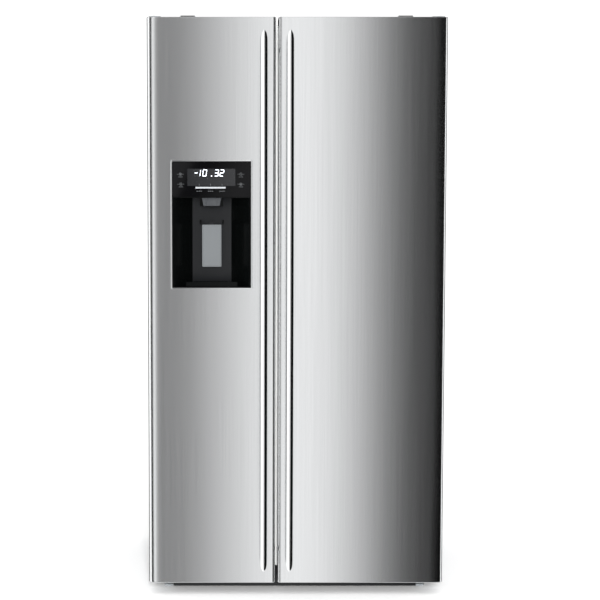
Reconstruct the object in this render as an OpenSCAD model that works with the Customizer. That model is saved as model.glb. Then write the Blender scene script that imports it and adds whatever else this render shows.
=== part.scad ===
// Side by side refrigerator, freezer on the left, with an ice and water dispenser.
// +X is right as seen from the front, +Y is the back, +Z is up, and Z = 0 is the floor.

/* [Cabinet] */
// Width of the cabinet, and of both doors together
cabinet_w = 908; // [757:1:1090]
// Height of the cabinet's roof above the floor
cabinet_h = 1750; // [1458:1:2100]
// Depth of the cabinet from its front flange to its back panel
cabinet_d = 640; // [560:1:768]
// Thickness of the insulated side walls and roof
wall_t = 45; // [38:1:54]
// Thickness of the insulated back wall
back_wall_t = 50; // [42:1:60]
// Thickness of the insulated floor
floor_t = 40; // [34:1:48]
// Width of the centre wall between the compartments
mullion_w = 54; // [50:1:65]
// Thickness of the steel sheet of the outer case
sheet_t = 0.8; // [0.6:0.1:1.2]
// Thickness of the moulded inner liners
liner_t = 2; // [1.5:0.1:2.5]
// Height of the insulated box's underside above the floor
base_h = 70; // [66:1:80]
// Height of the machine compartment's ceiling above the floor
machine_h = 240; // [225:1:288]
// Depth of the machine compartment
machine_d = 215; // [190:1:240]

/* [Doors] */
// Width of the freezer door
freezer_door_w = 390; // [360:1:468]
// Gap between the two doors
door_gap = 7; // [5:1:9]
// Thickness of the doors, from the steel face to the liner's flange
door_t = 72; // [64:1:86]
// Height of the doors' lower edge above the floor
door_bottom = 36; // [34:1:40]
// How far the doors stand above the cabinet's roof
door_rise = 16; // [12:1:20]
// Space between door and cabinet that the gasket fills
seal_gap = 12; // [10:1:14]
// Radius of the doors' outer vertical edges
outer_edge_r = 18; // [14:1:20]
// Radius of the doors' vertical edges next to the gap
inner_edge_r = 9; // [6:1:11]
// Thickness of the stainless steel door skins
skin_t = 1; // [0.8:0.1:1.2]
// Thickness of the plastic end caps of the doors
cap_t = 22; // [20:1:28]
// Depth of the raised rib around the inside of each door
rib_d = 45; // [38:1:54]
// Width of the raised rib
rib_w = 22; // [18:1:26]

/* [Handles] */
// How far each end of a handle stays from its door's end
handle_end_gap = 45; // [36:1:80]
// How far the middle of a handle stands out of the door
handle_reach = 58; // [52:1:70]
// How much further the middle stands out than the ends
handle_bow = 20; // [14:1:24]
// Width of the handle bar
handle_w = 20; // [16:1:24]
// Distance from the bar's middle to the door's edge
handle_inset = 36; // [30:1:43]

/* [Dispenser] */
// Width of the dispenser in the freezer door
dispenser_w = 248; // [200:1:250]
// Height of the dispenser
dispenser_h = 392; // [360:1:460]
// Distance from the door's top edge to the dispenser
dispenser_drop = 428; // [400:1:460]
// Height of the control panel above the recess
panel_h = 112; // [90:1:125]
// Depth of the recess behind the door's face
recess_d = 70; // [62:1:80]
// Width of the recess's back panel
recess_back_w = 120; // [100:1:144]
// Width of the paddle's pad
paddle_w = 59; // [50:1:70]
// Height of the paddle's pad
paddle_h = 129; // [108:1:140]

/* [Inside] */
// Number of shelves in the fresh food compartment
fridge_shelf_count = 4; // [3:1:4]
// Number of shelves in the freezer under the ice bucket
freezer_shelf_count = 4; // [3:1:4]
// Height of each crisper drawer
crisper_h = 205; // [180:1:215]
// Depth of the bins on the fresh food door
fridge_bin_d = 100; // [84:1:110]
// Depth of the bins on the freezer door
freezer_bin_d = 88; // [74:1:95]

/* [Base] */
// Radius of the rear rollers
roller_r = 20; // [17:1:22]
// Radius of the levelling feet's pads
foot_r = 17; // [14:1:20]
// Thickness of the machine compartment's cover and fittings behind the cabinet
rear_reach = 22; // [18:1:26]

/* [Hidden] */

$fn = 48;
// Overlap that makes a cut pass cleanly through a face
cut = 1;
// Radial clearance of a shaft or pin that turns in its hole
run_fit = 0.05;
// Clearance between pieces that move past each other
slip = 1;

// Depths, from the handles' front to the rear fittings, centred on Y = 0
total_d = handle_reach + door_t + seal_gap + cabinet_d + rear_reach;
door_y0 = handle_reach - total_d / 2;
door_y1 = door_y0 + door_t;
case_y0 = door_y1 + seal_gap;
case_y1 = case_y0 + cabinet_d;
rear_y = case_y1 + rear_reach;

// Widths
case_x = cabinet_w / 2;
fridge_door_w = cabinet_w - freezer_door_w - door_gap;
split_x = freezer_door_w + door_gap / 2 - case_x;
freezer_x0 = wall_t - case_x;
freezer_x1 = split_x - mullion_w / 2;
fridge_x0 = split_x + mullion_w / 2;
fridge_x1 = case_x - wall_t;
freezer_mid = (freezer_x0 + freezer_x1) / 2;
fridge_mid = (fridge_x0 + fridge_x1) / 2;

// Heights
door_top = cabinet_h + door_rise;
door_h = door_top - door_bottom;
handle_l = door_h - 2 * handle_end_gap;
inside_z0 = base_h + floor_t;
inside_z1 = cabinet_h - wall_t;
step_z = machine_h + floor_t;
inside_y1 = case_y1 - back_wall_t;
step_y = case_y1 - machine_d - floor_t;
frame_t = 2;
case_bottom = 30;
case_corner_r = 6;

// Hinge pins
pin_r = 5;
pin_in = 20;
pin_ahead = 30;
pin_y = door_y1 - pin_ahead;
hinge_gap = 2;
hinge_plate_t = 4;

// Doors, in their own frame: X from the hinge side, Y from the face, Z from the lower edge
gasket_w = 14;
gasket_hinge_in = 22;
gasket_free_in = 5;
gasket_top_in = door_rise + 12;
gasket_bottom_in = base_h - door_bottom + 8;
gasket_play = 0.4;
rib_hinge_in = wall_t + 8;
rib_free_in = (mullion_w - door_gap) / 2 + 16;
rib_top_in = door_rise + wall_t + 10;
rib_bottom_in = inside_z0 - door_bottom + 10;
bin_wall = 2.5;
bin_h = 92;

// Dispenser, in the freezer door's frame
dispenser_x = freezer_door_w / 2;
dispenser_z1 = door_h - dispenser_drop;
dispenser_z0 = dispenser_z1 - dispenser_h;
bezel_w = 4;
bezel_proud = 1.5;
bezel_d = 8;
recess_z1 = dispenser_z1 - panel_h;
recess_wall = 2.5;
recess_inset = bezel_w + 1;
panel_t = 6;
duct_w = 70;
duct_wall = 2.5;
bulge_d = 85;
bulge_z0 = dispenser_z0 - 35;
bulge_z1 = dispenser_z1 + 60;
bulge_top = bulge_z1 + door_bottom;
nozzle_drop = 27;
paddle_t = 7;
paddle_y = 34;
paddle_pivot_z = recess_z1 - 76;
paddle_rod_r = 3;
tray_h = 14;

// Freezer inside
ice_shelf_z = bulge_top + 6;
rack_wire_r = 1.6;
rack_frame_r = 3;
evaporator_gap = 60;
evaporator_cover_t = 3;
bucket_h = 170;
bucket_y0 = case_y0 + rib_d - seal_gap + 5;
bucket_l = 370;
bucket_z0 = ice_shelf_z + 8;
auger_r = 26;
auger_z = bucket_z0 + auger_r + 8;
rack_y0 = case_y0 + freezer_bin_d - seal_gap + 14;

// Fresh food inside
drawer_wall = 2.5;
shelf_y0 = case_y0 + fridge_bin_d - seal_gap + 16;
tower_d = 42;
tower_w = 130;
shelf_y1 = inside_y1 - tower_d - 6;
crisper_y0 = case_y0 + fridge_bin_d - seal_gap + 50;
glass_t = 4;
crisper_gap = 18;
lower_z = inside_z0 + 8;
upper_z = lower_z + crisper_h + crisper_gap;
crisper_lid_z = upper_z + crisper_h + 10;
filter_r = 28;
filter_l = 210;
filter_x = fridge_x1 - 62;
filter_z = inside_z1 - 34;
damper_h = 44;
damper_w = 90;
damper_z = inside_z1 - 120;

// Base and machine compartment
rail_w = 40;
rail_t = 3;
rail_x = case_x - sheet_t - rail_w / 2;
foot_x = case_x - 60;
foot_y = case_y0 + 24;
stem_r = 5;
roller_y = case_y1 - 50;
axle_r = 4;
machine_y0 = case_y1 - machine_d;
tray_z = 32;
fan_r = 62;
fan_x = -70;
fan_y = machine_y0 + machine_d / 2;
fan_z = 140;
shaft_r = 2.5;
compressor_x = 190;
compressor_r = 72;
edge_roll = 3;

// Places and sizes of single pieces
inlet_x = -case_x + 130;
inlet_z = 300;
inlet_r = 9;
inlet_l = 16;
valve_w = 64;
valve_h = 52;
gland_x = case_x - 120;
gland_z = 90;
gland_bore_r = 4.5;
evaporator_z = step_z + 40;
evaporator_fan_r = 46;
evaporator_fan_z = evaporator_z + 330;
evaporator_cover_y = inside_y1 - evaporator_gap;
freezer_rack_z0 = step_z + 90;
freezer_rack_pitch = (ice_shelf_z - freezer_rack_z0) / freezer_shelf_count;
basket_y0 = rack_y0 + 30;
basket_z1 = step_z + 50;
ice_maker_y0 = case_y0 + 100;
ice_maker_w = 126;
ice_maker_z0 = inside_z1 - 92;
bucket_x0 = rib_hinge_in + rib_w + 9 - case_x;
bucket_x1 = freezer_door_w - rib_free_in - rib_w - 8 - case_x;
duct_mid = dispenser_x - case_x;
bucket_mouth = 32;
shelf_pitch = (inside_z1 - 190 - crisper_lid_z) / (fridge_shelf_count - 1);
shelf_z = [for (shelf = [0:fridge_shelf_count - 1]) crisper_lid_z + shelf * shelf_pitch];
shelf_rim = 14;
freezer_bin_pitch = (bulge_z0 - rib_bottom_in - rib_w - 30) / 3;
window_w = 145;
window_h = 51;
window_drop = 27;
panel_sink = 0.6;
digit_w = 9;
digit_h = 19;
stroke = 2.4;
flap_pivot_y = recess_d - 20;
flap_pivot_z = recess_z1 - 10;
dairy_h = 120;
dairy_z = door_h - rib_top_in - rib_w - dairy_h - 24;
dairy_d = 96;
bin_rows = 4;
fridge_bin_pitch = (dairy_z - rib_bottom_in - rib_w - 60) / bin_rows;
lid_y = door_t + dairy_d - 5;
lid_z = dairy_z + dairy_h - 8;

// ---------------------------------------------------------------- helpers

// A block between two opposite corners
module block(low, high) {
    translate(low) cube(high - low);
}

// A block whose middle is cut out along Y, leaving a frame of one width
module ring_block(low, high, w) {
    difference() {
        block(low, high);
        block([low.x + w, low.y - cut, low.z + w], [high.x - w, high.y + cut, high.z - w]);
    }
}

// A box with walls and a floor, open at the top
module open_tub(low, high, wall) {
    difference() {
        block(low, high);
        block(low + [wall, wall, wall], high + [-wall, -wall, cut]);
    }
}

// A rectangle with round corners
module round_rect(w, h, r) {
    difference() {
        square([w, h]);
        for (side = [0, 1], end = [0, 1])
            translate([side * w, end * h]) mirror([side, 0]) mirror([0, end])
                difference() {
                    square(r);
                    translate([r, r]) circle(r);
                }
    }
}

// A rod along Y or X, given its middle and length
module rod_y(r, l) {
    rotate([90, 0, 0]) cylinder(r = r, h = l, center = true);
}
module rod_x(r, l) {
    rotate([0, 90, 0]) cylinder(r = r, h = l, center = true);
}

// A YZ outline given width along X
module slab_x(x0, x1) {
    translate([x0, 0, 0]) rotate([90, 0, 90]) linear_extrude(x1 - x0) children();
}

// A serpentine tube with fins: rows stacked along Z, columns along Y, runs along X
module fin_coil(rows, columns, pitch, run, tube_r, fins, fin_t) {
    for (column = [0:columns - 1])
        translate([0, column * pitch, 0]) {
            for (row = [0:rows - 1])
                translate([0, 0, row * pitch]) rod_x(tube_r, run);
            for (row = [0:rows - 2])
                translate([(row % 2 == 0 ? 1 : -1) * run / 2, 0, (row + 0.5) * pitch])
                    rotate([90, row % 2 == 0 ? 90 : -90, 0])
                        rotate_extrude(angle = 180) translate([pitch / 2, 0]) circle(tube_r, $fn = 24);
        }
    for (column = [0:columns - 2])
        translate([(column % 2 == 0 ? -1 : 1) * run / 2, (column + 0.5) * pitch,
                   column % 2 == 0 ? 0 : (rows - 1) * pitch])
            rotate([0, 0, column % 2 == 0 ? 90 : -90])
                rotate_extrude(angle = 180) translate([pitch / 2, 0]) circle(tube_r, $fn = 24);
    for (fin = [0:fins - 1])
        translate([-run / 2 + (fin + 0.5) * run / fins, -pitch / 2, -pitch / 2])
            cube([fin_t, columns * pitch, rows * pitch]);
}

// A fan wheel on the Y axis with a bored hub
module fan_wheel(r, hub_r, depth, blades, pitch_deg) {
    difference() {
        union() {
            rod_y(hub_r, depth);
            intersection() {
                rod_y(r, depth);
                for (blade = [0:blades - 1])
                    rotate([0, blade * 360 / blades, 0])
                        translate([hub_r - 2, 0, 0]) rotate([pitch_deg, 0, 0])
                            translate([0, -0.8, -hub_r]) cube([r, 1.6, 2 * hub_r]);
            }
        }
        rod_y(shaft_r + run_fit, depth + 2 * cut);
    }
}

// ---------------------------------------------------------------- cabinet

// YZ outline of a compartment, grown outwards by one thickness
module inside_outline(grow, front) {
    polygon([
        [front, inside_z0 - grow], [step_y + grow, inside_z0 - grow],
        [step_y + grow, step_z - grow], [inside_y1 + grow, step_z - grow],
        [inside_y1 + grow, inside_z1 + grow], [front, inside_z1 + grow]
    ]);
}

// The space of one compartment, grown outwards by one thickness
module inside_space(x0, x1, grow, front) {
    slab_x(x0 - grow, x1 + grow) inside_outline(grow, front);
}

module liner(x0, x1) {
    difference() {
        inside_space(x0, x1, liner_t, case_y0);
        inside_space(x0, x1, 0, case_y0 - cut);
    }
}

// The space inside the folded case, from the box's underside up, ending at Y = 0
module case_inside(depth) {
    w = cabinet_w - 2 * sheet_t;
    h = cabinet_h - sheet_t - base_h;
    translate([-w / 2, 0, base_h]) rotate([90, 0, 0]) linear_extrude(depth)
        union() {
            round_rect(w, h, case_corner_r - sheet_t);
            square([w, case_corner_r]);
        }
}

// Folded steel sheet over the roof and down both sides
module outer_case() {
    color("#8d9093")
        translate([-case_x, case_y1, case_bottom]) rotate([90, 0, 0]) linear_extrude(cabinet_d)
            difference() {
                round_rect(cabinet_w, cabinet_h - case_bottom, case_corner_r);
                translate([sheet_t, -cut])
                    round_rect(cabinet_w - 2 * sheet_t, cabinet_h - case_bottom - sheet_t + cut,
                               case_corner_r - sheet_t);
                square([cabinet_w, case_corner_r]);
            }
}

// Flat steel sheet that closes the back above the machine compartment
module back_panel() {
    color("#a9acae")
        difference() {
            intersection() {
                translate([0, case_y1, 0]) case_inside(sheet_t);
                block([-case_x, case_y1 - sheet_t, machine_h], [case_x, case_y1, cabinet_h]);
            }
            // Stamped ribs that stiffen the sheet are pressed in by half its thickness
            for (rib = [0:4])
                block([-case_x / 2 + rib * case_x / 4 - 3, case_y1 - sheet_t / 2, machine_h + 120],
                      [-case_x / 2 + rib * case_x / 4 + 3, case_y1 + cut, cabinet_h - 160]);
        }
}

// Polyurethane foam between the case and the liners
module foam_core() {
    color("#e8d9a8")
        difference() {
            translate([0, case_y1 - sheet_t, 0]) case_inside(cabinet_d - sheet_t - frame_t);
            block([-case_x, machine_y0, base_h - cut], [case_x, case_y1, machine_h]);
            inside_space(freezer_x0, freezer_x1, liner_t, case_y0 - cut);
            inside_space(fridge_x0, fridge_x1, liner_t, case_y0 - cut);
        }
}

module freezer_liner() {
    color("#f4f5f5") liner(freezer_x0, freezer_x1);
}

module fridge_liner() {
    color("#f4f5f5") liner(fridge_x0, fridge_x1);
}

// Painted steel flange that the magnetic gaskets close on
module front_frame() {
    color("#7f8285")
        difference() {
            translate([0, case_y0 + frame_t, 0]) case_inside(frame_t);
            for (x = [[freezer_x0, freezer_x1], [fridge_x0, fridge_x1]])
                block([x[0] - liner_t, case_y0 - cut, inside_z0 - liner_t],
                      [x[1] + liner_t, case_y0 + frame_t + cut, inside_z1 + liner_t]);
        }
}

// Two channel rails, a front plate for the feet, a rear cross member and the compressor's plate
module base_frame() {
    tab_t = 3;
    roller_half = 9 + slip;
    rail_top = base_h - 1;
    color("#6f7376")
        difference() {
            union() {
                for (side = [-1, 1]) {
                    difference() {
                        block([side * rail_x - rail_w / 2, case_y0 + 6, case_bottom],
                              [side * rail_x + rail_w / 2, case_y1 - 4, rail_top]);
                        block([side * rail_x - rail_w / 2 + rail_t, case_y0, case_bottom - cut],
                              [side * rail_x + rail_w / 2 - rail_t, case_y1, rail_top - rail_t]);
                    }
                    // Ears that carry the roller's axle
                    for (ear = [-1, 1])
                        translate([side * rail_x + ear * (roller_half + tab_t / 2), roller_y, 0])
                            block([-tab_t / 2, -14, roller_r - 9], [tab_t / 2, 14, rail_top - rail_t + 0.5]);
                    translate([side * rail_x, roller_y, roller_r])
                        rod_x(axle_r, 2 * (roller_half + tab_t) + 4);
                    // Nut that the levelling foot turns in
                    translate([side * foot_x, foot_y, rail_top - rail_t - 10])
                        cylinder(r = 10, h = 10.5, $fn = 6);
                }
                block([-rail_x, case_y0 + 6, rail_top - rail_t], [rail_x, foot_y + 25, rail_top]);
                block([-rail_x, case_y0 + 6, case_bottom + 10], [rail_x, case_y0 + 6 + rail_t, rail_top]);
                block([-rail_x, machine_y0 - 20, case_bottom + 10],
                      [rail_x, machine_y0 - 20 + rail_t, rail_top]);
                block([-rail_x, machine_y0 - 20, tray_z], [rail_x, case_y1 - 4, tray_z + rail_t]);
            }
            for (side = [-1, 1]) {
                translate([side * foot_x, foot_y, case_bottom])
                    cylinder(r = stem_r + run_fit, h = base_h);
                // Clearance around each roller
                translate([side * rail_x, roller_y, tray_z])
                    block([-roller_half, -roller_r - 4, -cut], [roller_half, roller_r + 4, rail_t + cut]);
            }
        }
}

// Slotted toe grille behind the doors' lower ends
module base_grille() {
    slot_pitch = 22;
    slot_w = 12;
    slot_edge = 12;
    end_gap = 20;
    margin = 72;
    z0 = 4;
    z1 = base_h - 2;
    color("#26282a")
        difference() {
            block([-case_x + margin, case_y0 - 4, z0], [case_x - margin, case_y0 + 1.5, z1]);
            for (x = [-case_x + margin + end_gap:slot_pitch:case_x - margin - end_gap])
                block([x, case_y0 - 5, z0 + slot_edge], [x + slot_w, case_y0 + 5, z1 - slot_edge]);
        }
}

// One top hinge at the right: a stepped steel plate with a pin that points down
module top_hinge() {
    arm_z = door_top + hinge_gap;
    reach = 92;
    inner = case_x - 120;
    outer = case_x - 6;
    block([inner, case_y0 + 8, cabinet_h], [outer, case_y0 + reach, cabinet_h + hinge_plate_t]);
    block([inner, case_y0 + 8, cabinet_h],
          [outer, case_y0 + 8 + hinge_plate_t, arm_z + hinge_plate_t]);
    block([case_x - pin_in - 16, pin_y, arm_z], [outer, case_y0 + 9, arm_z + hinge_plate_t]);
    translate([case_x - pin_in, pin_y, arm_z]) cylinder(r = 14, h = hinge_plate_t);
    translate([case_x - pin_in, pin_y, arm_z - hinge_gap - 16])
        cylinder(r = pin_r, h = 16 + hinge_gap + 1);
}

module top_hinges() {
    color("#8f9396") {
        top_hinge();
        mirror([1, 0, 0]) top_hinge();
    }
}

// Moulded cover over one top hinge: a box on the case with a rib over the wiring, and a tongue
// over the hinge arm whose front is open for the pin
module hinge_cover() {
    wall = 2;
    rib_rise = 2;
    x1 = case_x - 4;
    x0 = x1 - 142;
    y0 = case_y0 + 2;
    y1 = y0 + 96;
    front_y = pin_y + 16;
    tongue_x = case_x - pin_in - 20;
    rib_x0 = x0 + wall;
    rib_x1 = rib_x0 + 44;
    low_z = door_top + hinge_gap + hinge_plate_t + 1;
    high_z = low_z + rib_rise;
    difference() {
        union() {
            block([x0, y0, cabinet_h], [x1, y1, low_z + wall]);
            block([rib_x0, y0, cabinet_h], [rib_x1, y1, high_z + wall]);
            block([tongue_x, front_y, door_top + 1], [x1, y0 + wall, low_z + wall]);
            block([rib_x0, front_y, door_top + 1], [rib_x1, y0 + wall, high_z + wall]);
        }
        block([x0 + wall, y0 + wall, cabinet_h - cut], [x1 - wall, y1 - wall, low_z]);
        block([rib_x0 + wall, y0 + wall, cabinet_h - cut], [rib_x1 - wall, y1 - wall, high_z]);
        block([tongue_x + wall, front_y - cut, door_top], [x1 - wall, y0 + 2 * wall, low_z]);
        block([rib_x0 + wall, front_y + wall, door_top], [rib_x1 - wall, y0 + 2 * wall, high_z]);
    }
}

module hinge_covers() {
    color("#2b2d2f") {
        hinge_cover();
        mirror([1, 0, 0]) hinge_cover();
    }
}

// One bottom hinge at the right: a plate under the door with a pin that points up
module bottom_hinge() {
    plate_z = door_bottom - hinge_gap - hinge_plate_t;
    inner = case_x - 66;
    outer = case_x - 8;
    block([inner, pin_y, plate_z], [outer, case_y0 + 6, plate_z + hinge_plate_t]);
    block([inner, case_y0 + 2, plate_z], [outer, case_y0 + 6, base_h - 8]);
    translate([case_x - pin_in, pin_y, plate_z]) cylinder(r = 14, h = hinge_plate_t);
    translate([case_x - pin_in, pin_y, plate_z + 1])
        cylinder(r = pin_r, h = hinge_plate_t - 1 + hinge_gap + 16);
}

module bottom_hinges() {
    color("#8f9396") {
        bottom_hinge();
        mirror([1, 0, 0]) bottom_hinge();
    }
}

// Hermetic compressor: a welded can on a plate with rubber feet
module compressor() {
    foot_h = 16;
    can_h = 150;
    dome = 42;
    color("#1d1e20")
        translate([compressor_x, fan_y, tray_z + rail_t]) {
            for (x = [-1, 1], y = [-1, 1])
                translate([x * 62, y * 62, 0]) cylinder(r = 11, h = foot_h + 0.5);
            translate([-74, -74, foot_h]) cube([148, 148, 3]);
            translate([0, 0, foot_h + 2])
                rotate_extrude() {
                    translate([0, dome]) square([compressor_r, can_h - 2 * dome]);
                    for (end = [dome, can_h - dome])
                        intersection() {
                            translate([compressor_r - dome, end]) circle(dome);
                            square([compressor_r, can_h]);
                        }
                    square([compressor_r - dome, can_h]);
                }
            translate([compressor_r - 4, -18, foot_h + 50]) cube([26, 36, 52]);
        }
}

// Forced-air condenser beside the fan
module condenser() {
    color("#33363a")
        translate([-250, machine_y0 + 70, tray_z + rail_t + 14])
            fin_coil(8, 4, 20, 210, 3, 16, 0.8);
}

// Square shroud that holds the condenser fan's motor by three arms
module fan_shroud() {
    shroud = fan_r + 8;
    depth = 26;
    motor_l = 31;
    motor_y0 = 8;
    arm_w = 8;
    color("#3a3d40")
        translate([fan_x, fan_y, 0]) rotate([0, 0, 90]) {
            translate([0, depth / 2, 0]) rotate([90, 0, 0]) linear_extrude(depth)
                difference() {
                    translate([-shroud, tray_z + rail_t])
                        square([2 * shroud, fan_z + shroud - tray_z - rail_t]);
                    translate([0, fan_z]) circle(fan_r + 3);
                }
            translate([0, motor_y0 + motor_l / 2, fan_z]) rod_y(22, motor_l);
            for (arm = [0:2])
                translate([0, depth / 2, fan_z]) rotate([0, 90 + arm * 120, 0])
                    translate([15, -arm_w / 2, -arm_w / 2]) cube([shroud - 16, arm_w, arm_w]);
            translate([0, 0, fan_z]) rod_y(shaft_r, depth);
        }
}

module condenser_fan() {
    color("#2a2c2e")
        translate([fan_x, fan_y, fan_z]) rotate([0, 0, 90]) translate([0, -3, 0])
            fan_wheel(fan_r, 18, 18, 5, 35);
}

// Ventilated board over the back of the machine compartment
module machine_cover() {
    slot_l = 70;
    color("#b9b6ad")
        difference() {
            block([4 - case_x, case_y1, tray_z], [case_x - 4, case_y1 + 3, machine_h + 14]);
            for (row = [0:5], column = [0:3])
                block([-case_x + 60 + column * (slot_l + 14), case_y1 - cut, 70 + row * 26],
                      [-case_x + 60 + column * (slot_l + 14) + slot_l, case_y1 + 4, 76 + row * 26]);
            for (row = [0:5], column = [0:1])
                block([case_x - 230 + column * (slot_l + 14), case_y1 - cut, 70 + row * 26],
                      [case_x - 230 + column * (slot_l + 14) + slot_l, case_y1 + 4, 76 + row * 26]);
            // Way through for the mains lead
            translate([gland_x, case_y1, gland_z]) rod_y(gland_bore_r + 3, 10);
        }
}

// Water inlet valve behind the cabinet, and the filter's head under the fresh food roof
module water_fittings() {
    color("#e3e4e2") {
        block([inlet_x - valve_w / 2, case_y1, inlet_z - valve_h / 2],
              [inlet_x + valve_w / 2, rear_y - inlet_l, inlet_z + valve_h / 2]);
        translate([inlet_x, rear_y - inlet_l / 2 - cut / 2, inlet_z]) rod_y(inlet_r, inlet_l + cut);
        // The head hangs from the roof and holds the filter's neck
        difference() {
            block([filter_x - 34, shelf_y0 + filter_l + 20, filter_z - 30],
                  [filter_x + 34, shelf_y0 + filter_l + 80, inside_z1]);
            translate([filter_x, shelf_y0 + filter_l + 36, filter_z]) rod_y(12 + run_fit, 40);
        }
    }
}

module water_filter() {
    body_mid = shelf_y0 + 18 + filter_l / 2;
    color("#f0f1f1")
        translate([filter_x, body_mid, filter_z]) {
            rod_y(filter_r, filter_l);
            translate([0, filter_l / 2 + 14, 0]) rod_y(12, 30);
            translate([-4, -filter_l / 2 - 10, -filter_r + 4])
                cube([8, 12, 2 * filter_r - 8]);
        }
}

// Gland that the mains lead enters by
module power_inlet() {
    color("#17181a")
        translate([gland_x, case_y1 + 3, gland_z]) rotate([-90, 0, 0])
            difference() {
                union() {
                    cylinder(r = 15, h = 4);
                    cylinder(r = 10, h = rear_reach - 5);
                }
                translate([0, 0, -cut]) cylinder(r = gland_bore_r, h = rear_reach);
            }
}

// ---------------------------------------------------------------- freezer inside

module evaporator() {
    run = freezer_x1 - freezer_x0 - 70;
    color("#b8bcbf")
        translate([freezer_mid, inside_y1 - 38, evaporator_z]) fin_coil(10, 2, 24, run, 4, 18, 0.8);
}

// Moulded cover with air slots, and the bracket that holds the fan's motor behind it
module evaporator_cover() {
    color("#eceded") {
        difference() {
            block([freezer_x0 + 2, evaporator_cover_y, step_z + 2],
                  [freezer_x1 - 2, evaporator_cover_y + evaporator_cover_t, inside_z1 - 2]);
            translate([freezer_mid, evaporator_cover_y, evaporator_fan_z])
                rod_y(evaporator_fan_r + 3, 4 * evaporator_cover_t);
            for (row = [0:4], column = [-1, 1])
                block([freezer_mid + column * 62 - 34, evaporator_cover_y - cut,
                       step_z + 16 + row * 14],
                      [freezer_mid + column * 62 + 34,
                       evaporator_cover_y + evaporator_cover_t + cut, step_z + 22 + row * 14]);
        }
        translate([freezer_mid, evaporator_cover_y + 34, evaporator_fan_z]) {
            rod_y(18, 20);
            translate([-evaporator_fan_r - 10, -2, -5]) cube([2 * evaporator_fan_r + 20, 5, 10]);
            translate([0, -22, 0]) rod_y(shaft_r, 30);
        }
        for (side = [-1, 1])
            translate([freezer_mid + side * (evaporator_fan_r + 7),
                       evaporator_cover_y + 17 + evaporator_cover_t / 2, evaporator_fan_z])
                rod_y(4, 38);
    }
}

module evaporator_fan() {
    color("#2a2c2e")
        translate([freezer_mid, evaporator_cover_y + 12, evaporator_fan_z])
            fan_wheel(evaporator_fan_r, 14, 14, 5, 35);
}

// One wire rack
module wire_rack(z, y0, y1) {
    x0 = freezer_x0 + 4;
    x1 = freezer_x1 - 4;
    wires = 12;
    for (y = [y0 + rack_frame_r, y1 - rack_frame_r, (y0 + y1) / 2])
        translate([(x0 + x1) / 2, y, z]) rod_x(rack_frame_r, x1 - x0);
    for (wire = [0:wires - 1])
        translate([x0 + 8 + wire * (x1 - x0 - 16) / (wires - 1), (y0 + y1) / 2, z + 3])
            rod_y(rack_wire_r, y1 - y0 - 2 * rack_frame_r);
}

// The ice bucket's moulded shelf and the wire racks under it, down to the basket
module freezer_shelves() {
    color("#dfe2e4") {
        block([freezer_x0 + 3, case_y0 + 76, ice_shelf_z],
              [freezer_x1 - 3, evaporator_cover_y - 3, ice_shelf_z + 5]);
        for (rack = [0:freezer_shelf_count - 1])
            wire_rack(freezer_rack_z0 + rack * freezer_rack_pitch, rack_y0, evaporator_cover_y - 6);
    }
}

// Slide-out basket on the freezer's floor
module freezer_basket() {
    x0 = freezer_x0 + 8;
    x1 = freezer_x1 - 8;
    z0 = inside_z0 + 6;
    color("#cfd6da")
        difference() {
            union() {
                open_tub([x0, basket_y0, z0], [x1, step_y - 5, basket_z1], drawer_wall);
                block([x0, basket_y0 - 10, basket_z1 - 40], [x1, basket_y0 + 1, basket_z1 - 30]);
            }
            for (slot = [0:7])
                block([x0 + 24 + slot * (x1 - x0 - 48) / 8, basket_y0 - 12, z0 + 30],
                      [x0 + 40 + slot * (x1 - x0 - 48) / 8, basket_y0 + drawer_wall + cut, z0 + 110]);
        }
}

// Ice mould with its drive box, hung from the roof on two lugs
module ice_maker() {
    mould_l = 210;
    cells = 7;
    x0 = freezer_mid - ice_maker_w / 2;
    color("#c9ced2") {
        block([x0, ice_maker_y0, ice_maker_z0], [x0 + ice_maker_w, ice_maker_y0 + 60, inside_z1 - 8]);
        difference() {
            block([x0 + 8, ice_maker_y0 + 59, ice_maker_z0 + 20],
                  [x0 + ice_maker_w - 20, ice_maker_y0 + 60 + mould_l, ice_maker_z0 + 58]);
            for (cell = [0:cells - 1])
                translate([x0 + 58, ice_maker_y0 + 78 + cell * mould_l / cells, ice_maker_z0 + 60])
                    rod_y(30, mould_l / cells - 4);
        }
        for (lug = [ice_maker_y0 + 20, ice_maker_y0 + mould_l + 30])
            block([x0 + 2, lug, ice_maker_z0 + 40], [x0 + 10, lug + 20, inside_z1]);
    }
}

// Bucket under the ice maker: its floor is open at the front, over the door's duct
module ice_bucket() {
    wall = 3;
    color("#dbe3e8")
        difference() {
            union() {
                open_tub([bucket_x0, bucket_y0, bucket_z0],
                         [bucket_x1, bucket_y0 + bucket_l, bucket_z0 + bucket_h], wall);
                translate([duct_mid, bucket_y0 + bucket_l - 4, auger_z]) rod_y(12, 8);
                translate([duct_mid, bucket_y0 + 2, auger_z]) rod_y(12, 4);
            }
            block([duct_mid - duct_w / 2 + 6, bucket_y0 + wall, bucket_z0 - cut],
                  [duct_mid + duct_w / 2 - 6, bucket_y0 + wall + bucket_mouth, bucket_z0 + wall + cut]);
            translate([duct_mid, bucket_y0 + bucket_l / 2, auger_z])
                rod_y(axle_r + run_fit, bucket_l + 20);
        }
}

// Screw that pushes ice forwards: a shaft with round flights
module ice_auger() {
    flights = 7;
    color("#9aa0a4")
        translate([duct_mid, bucket_y0, auger_z]) {
            translate([0, bucket_l / 2 + 1, 0]) rod_y(axle_r, bucket_l + 6);
            for (flight = [0:flights - 1])
                translate([0, bucket_mouth + 24 + flight * (bucket_l - bucket_mouth - 60) / flights, 0])
                    rotate([16, 0, 0]) rod_y(auger_r, 3);
        }
}

// ---------------------------------------------------------------- fresh food inside

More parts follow.
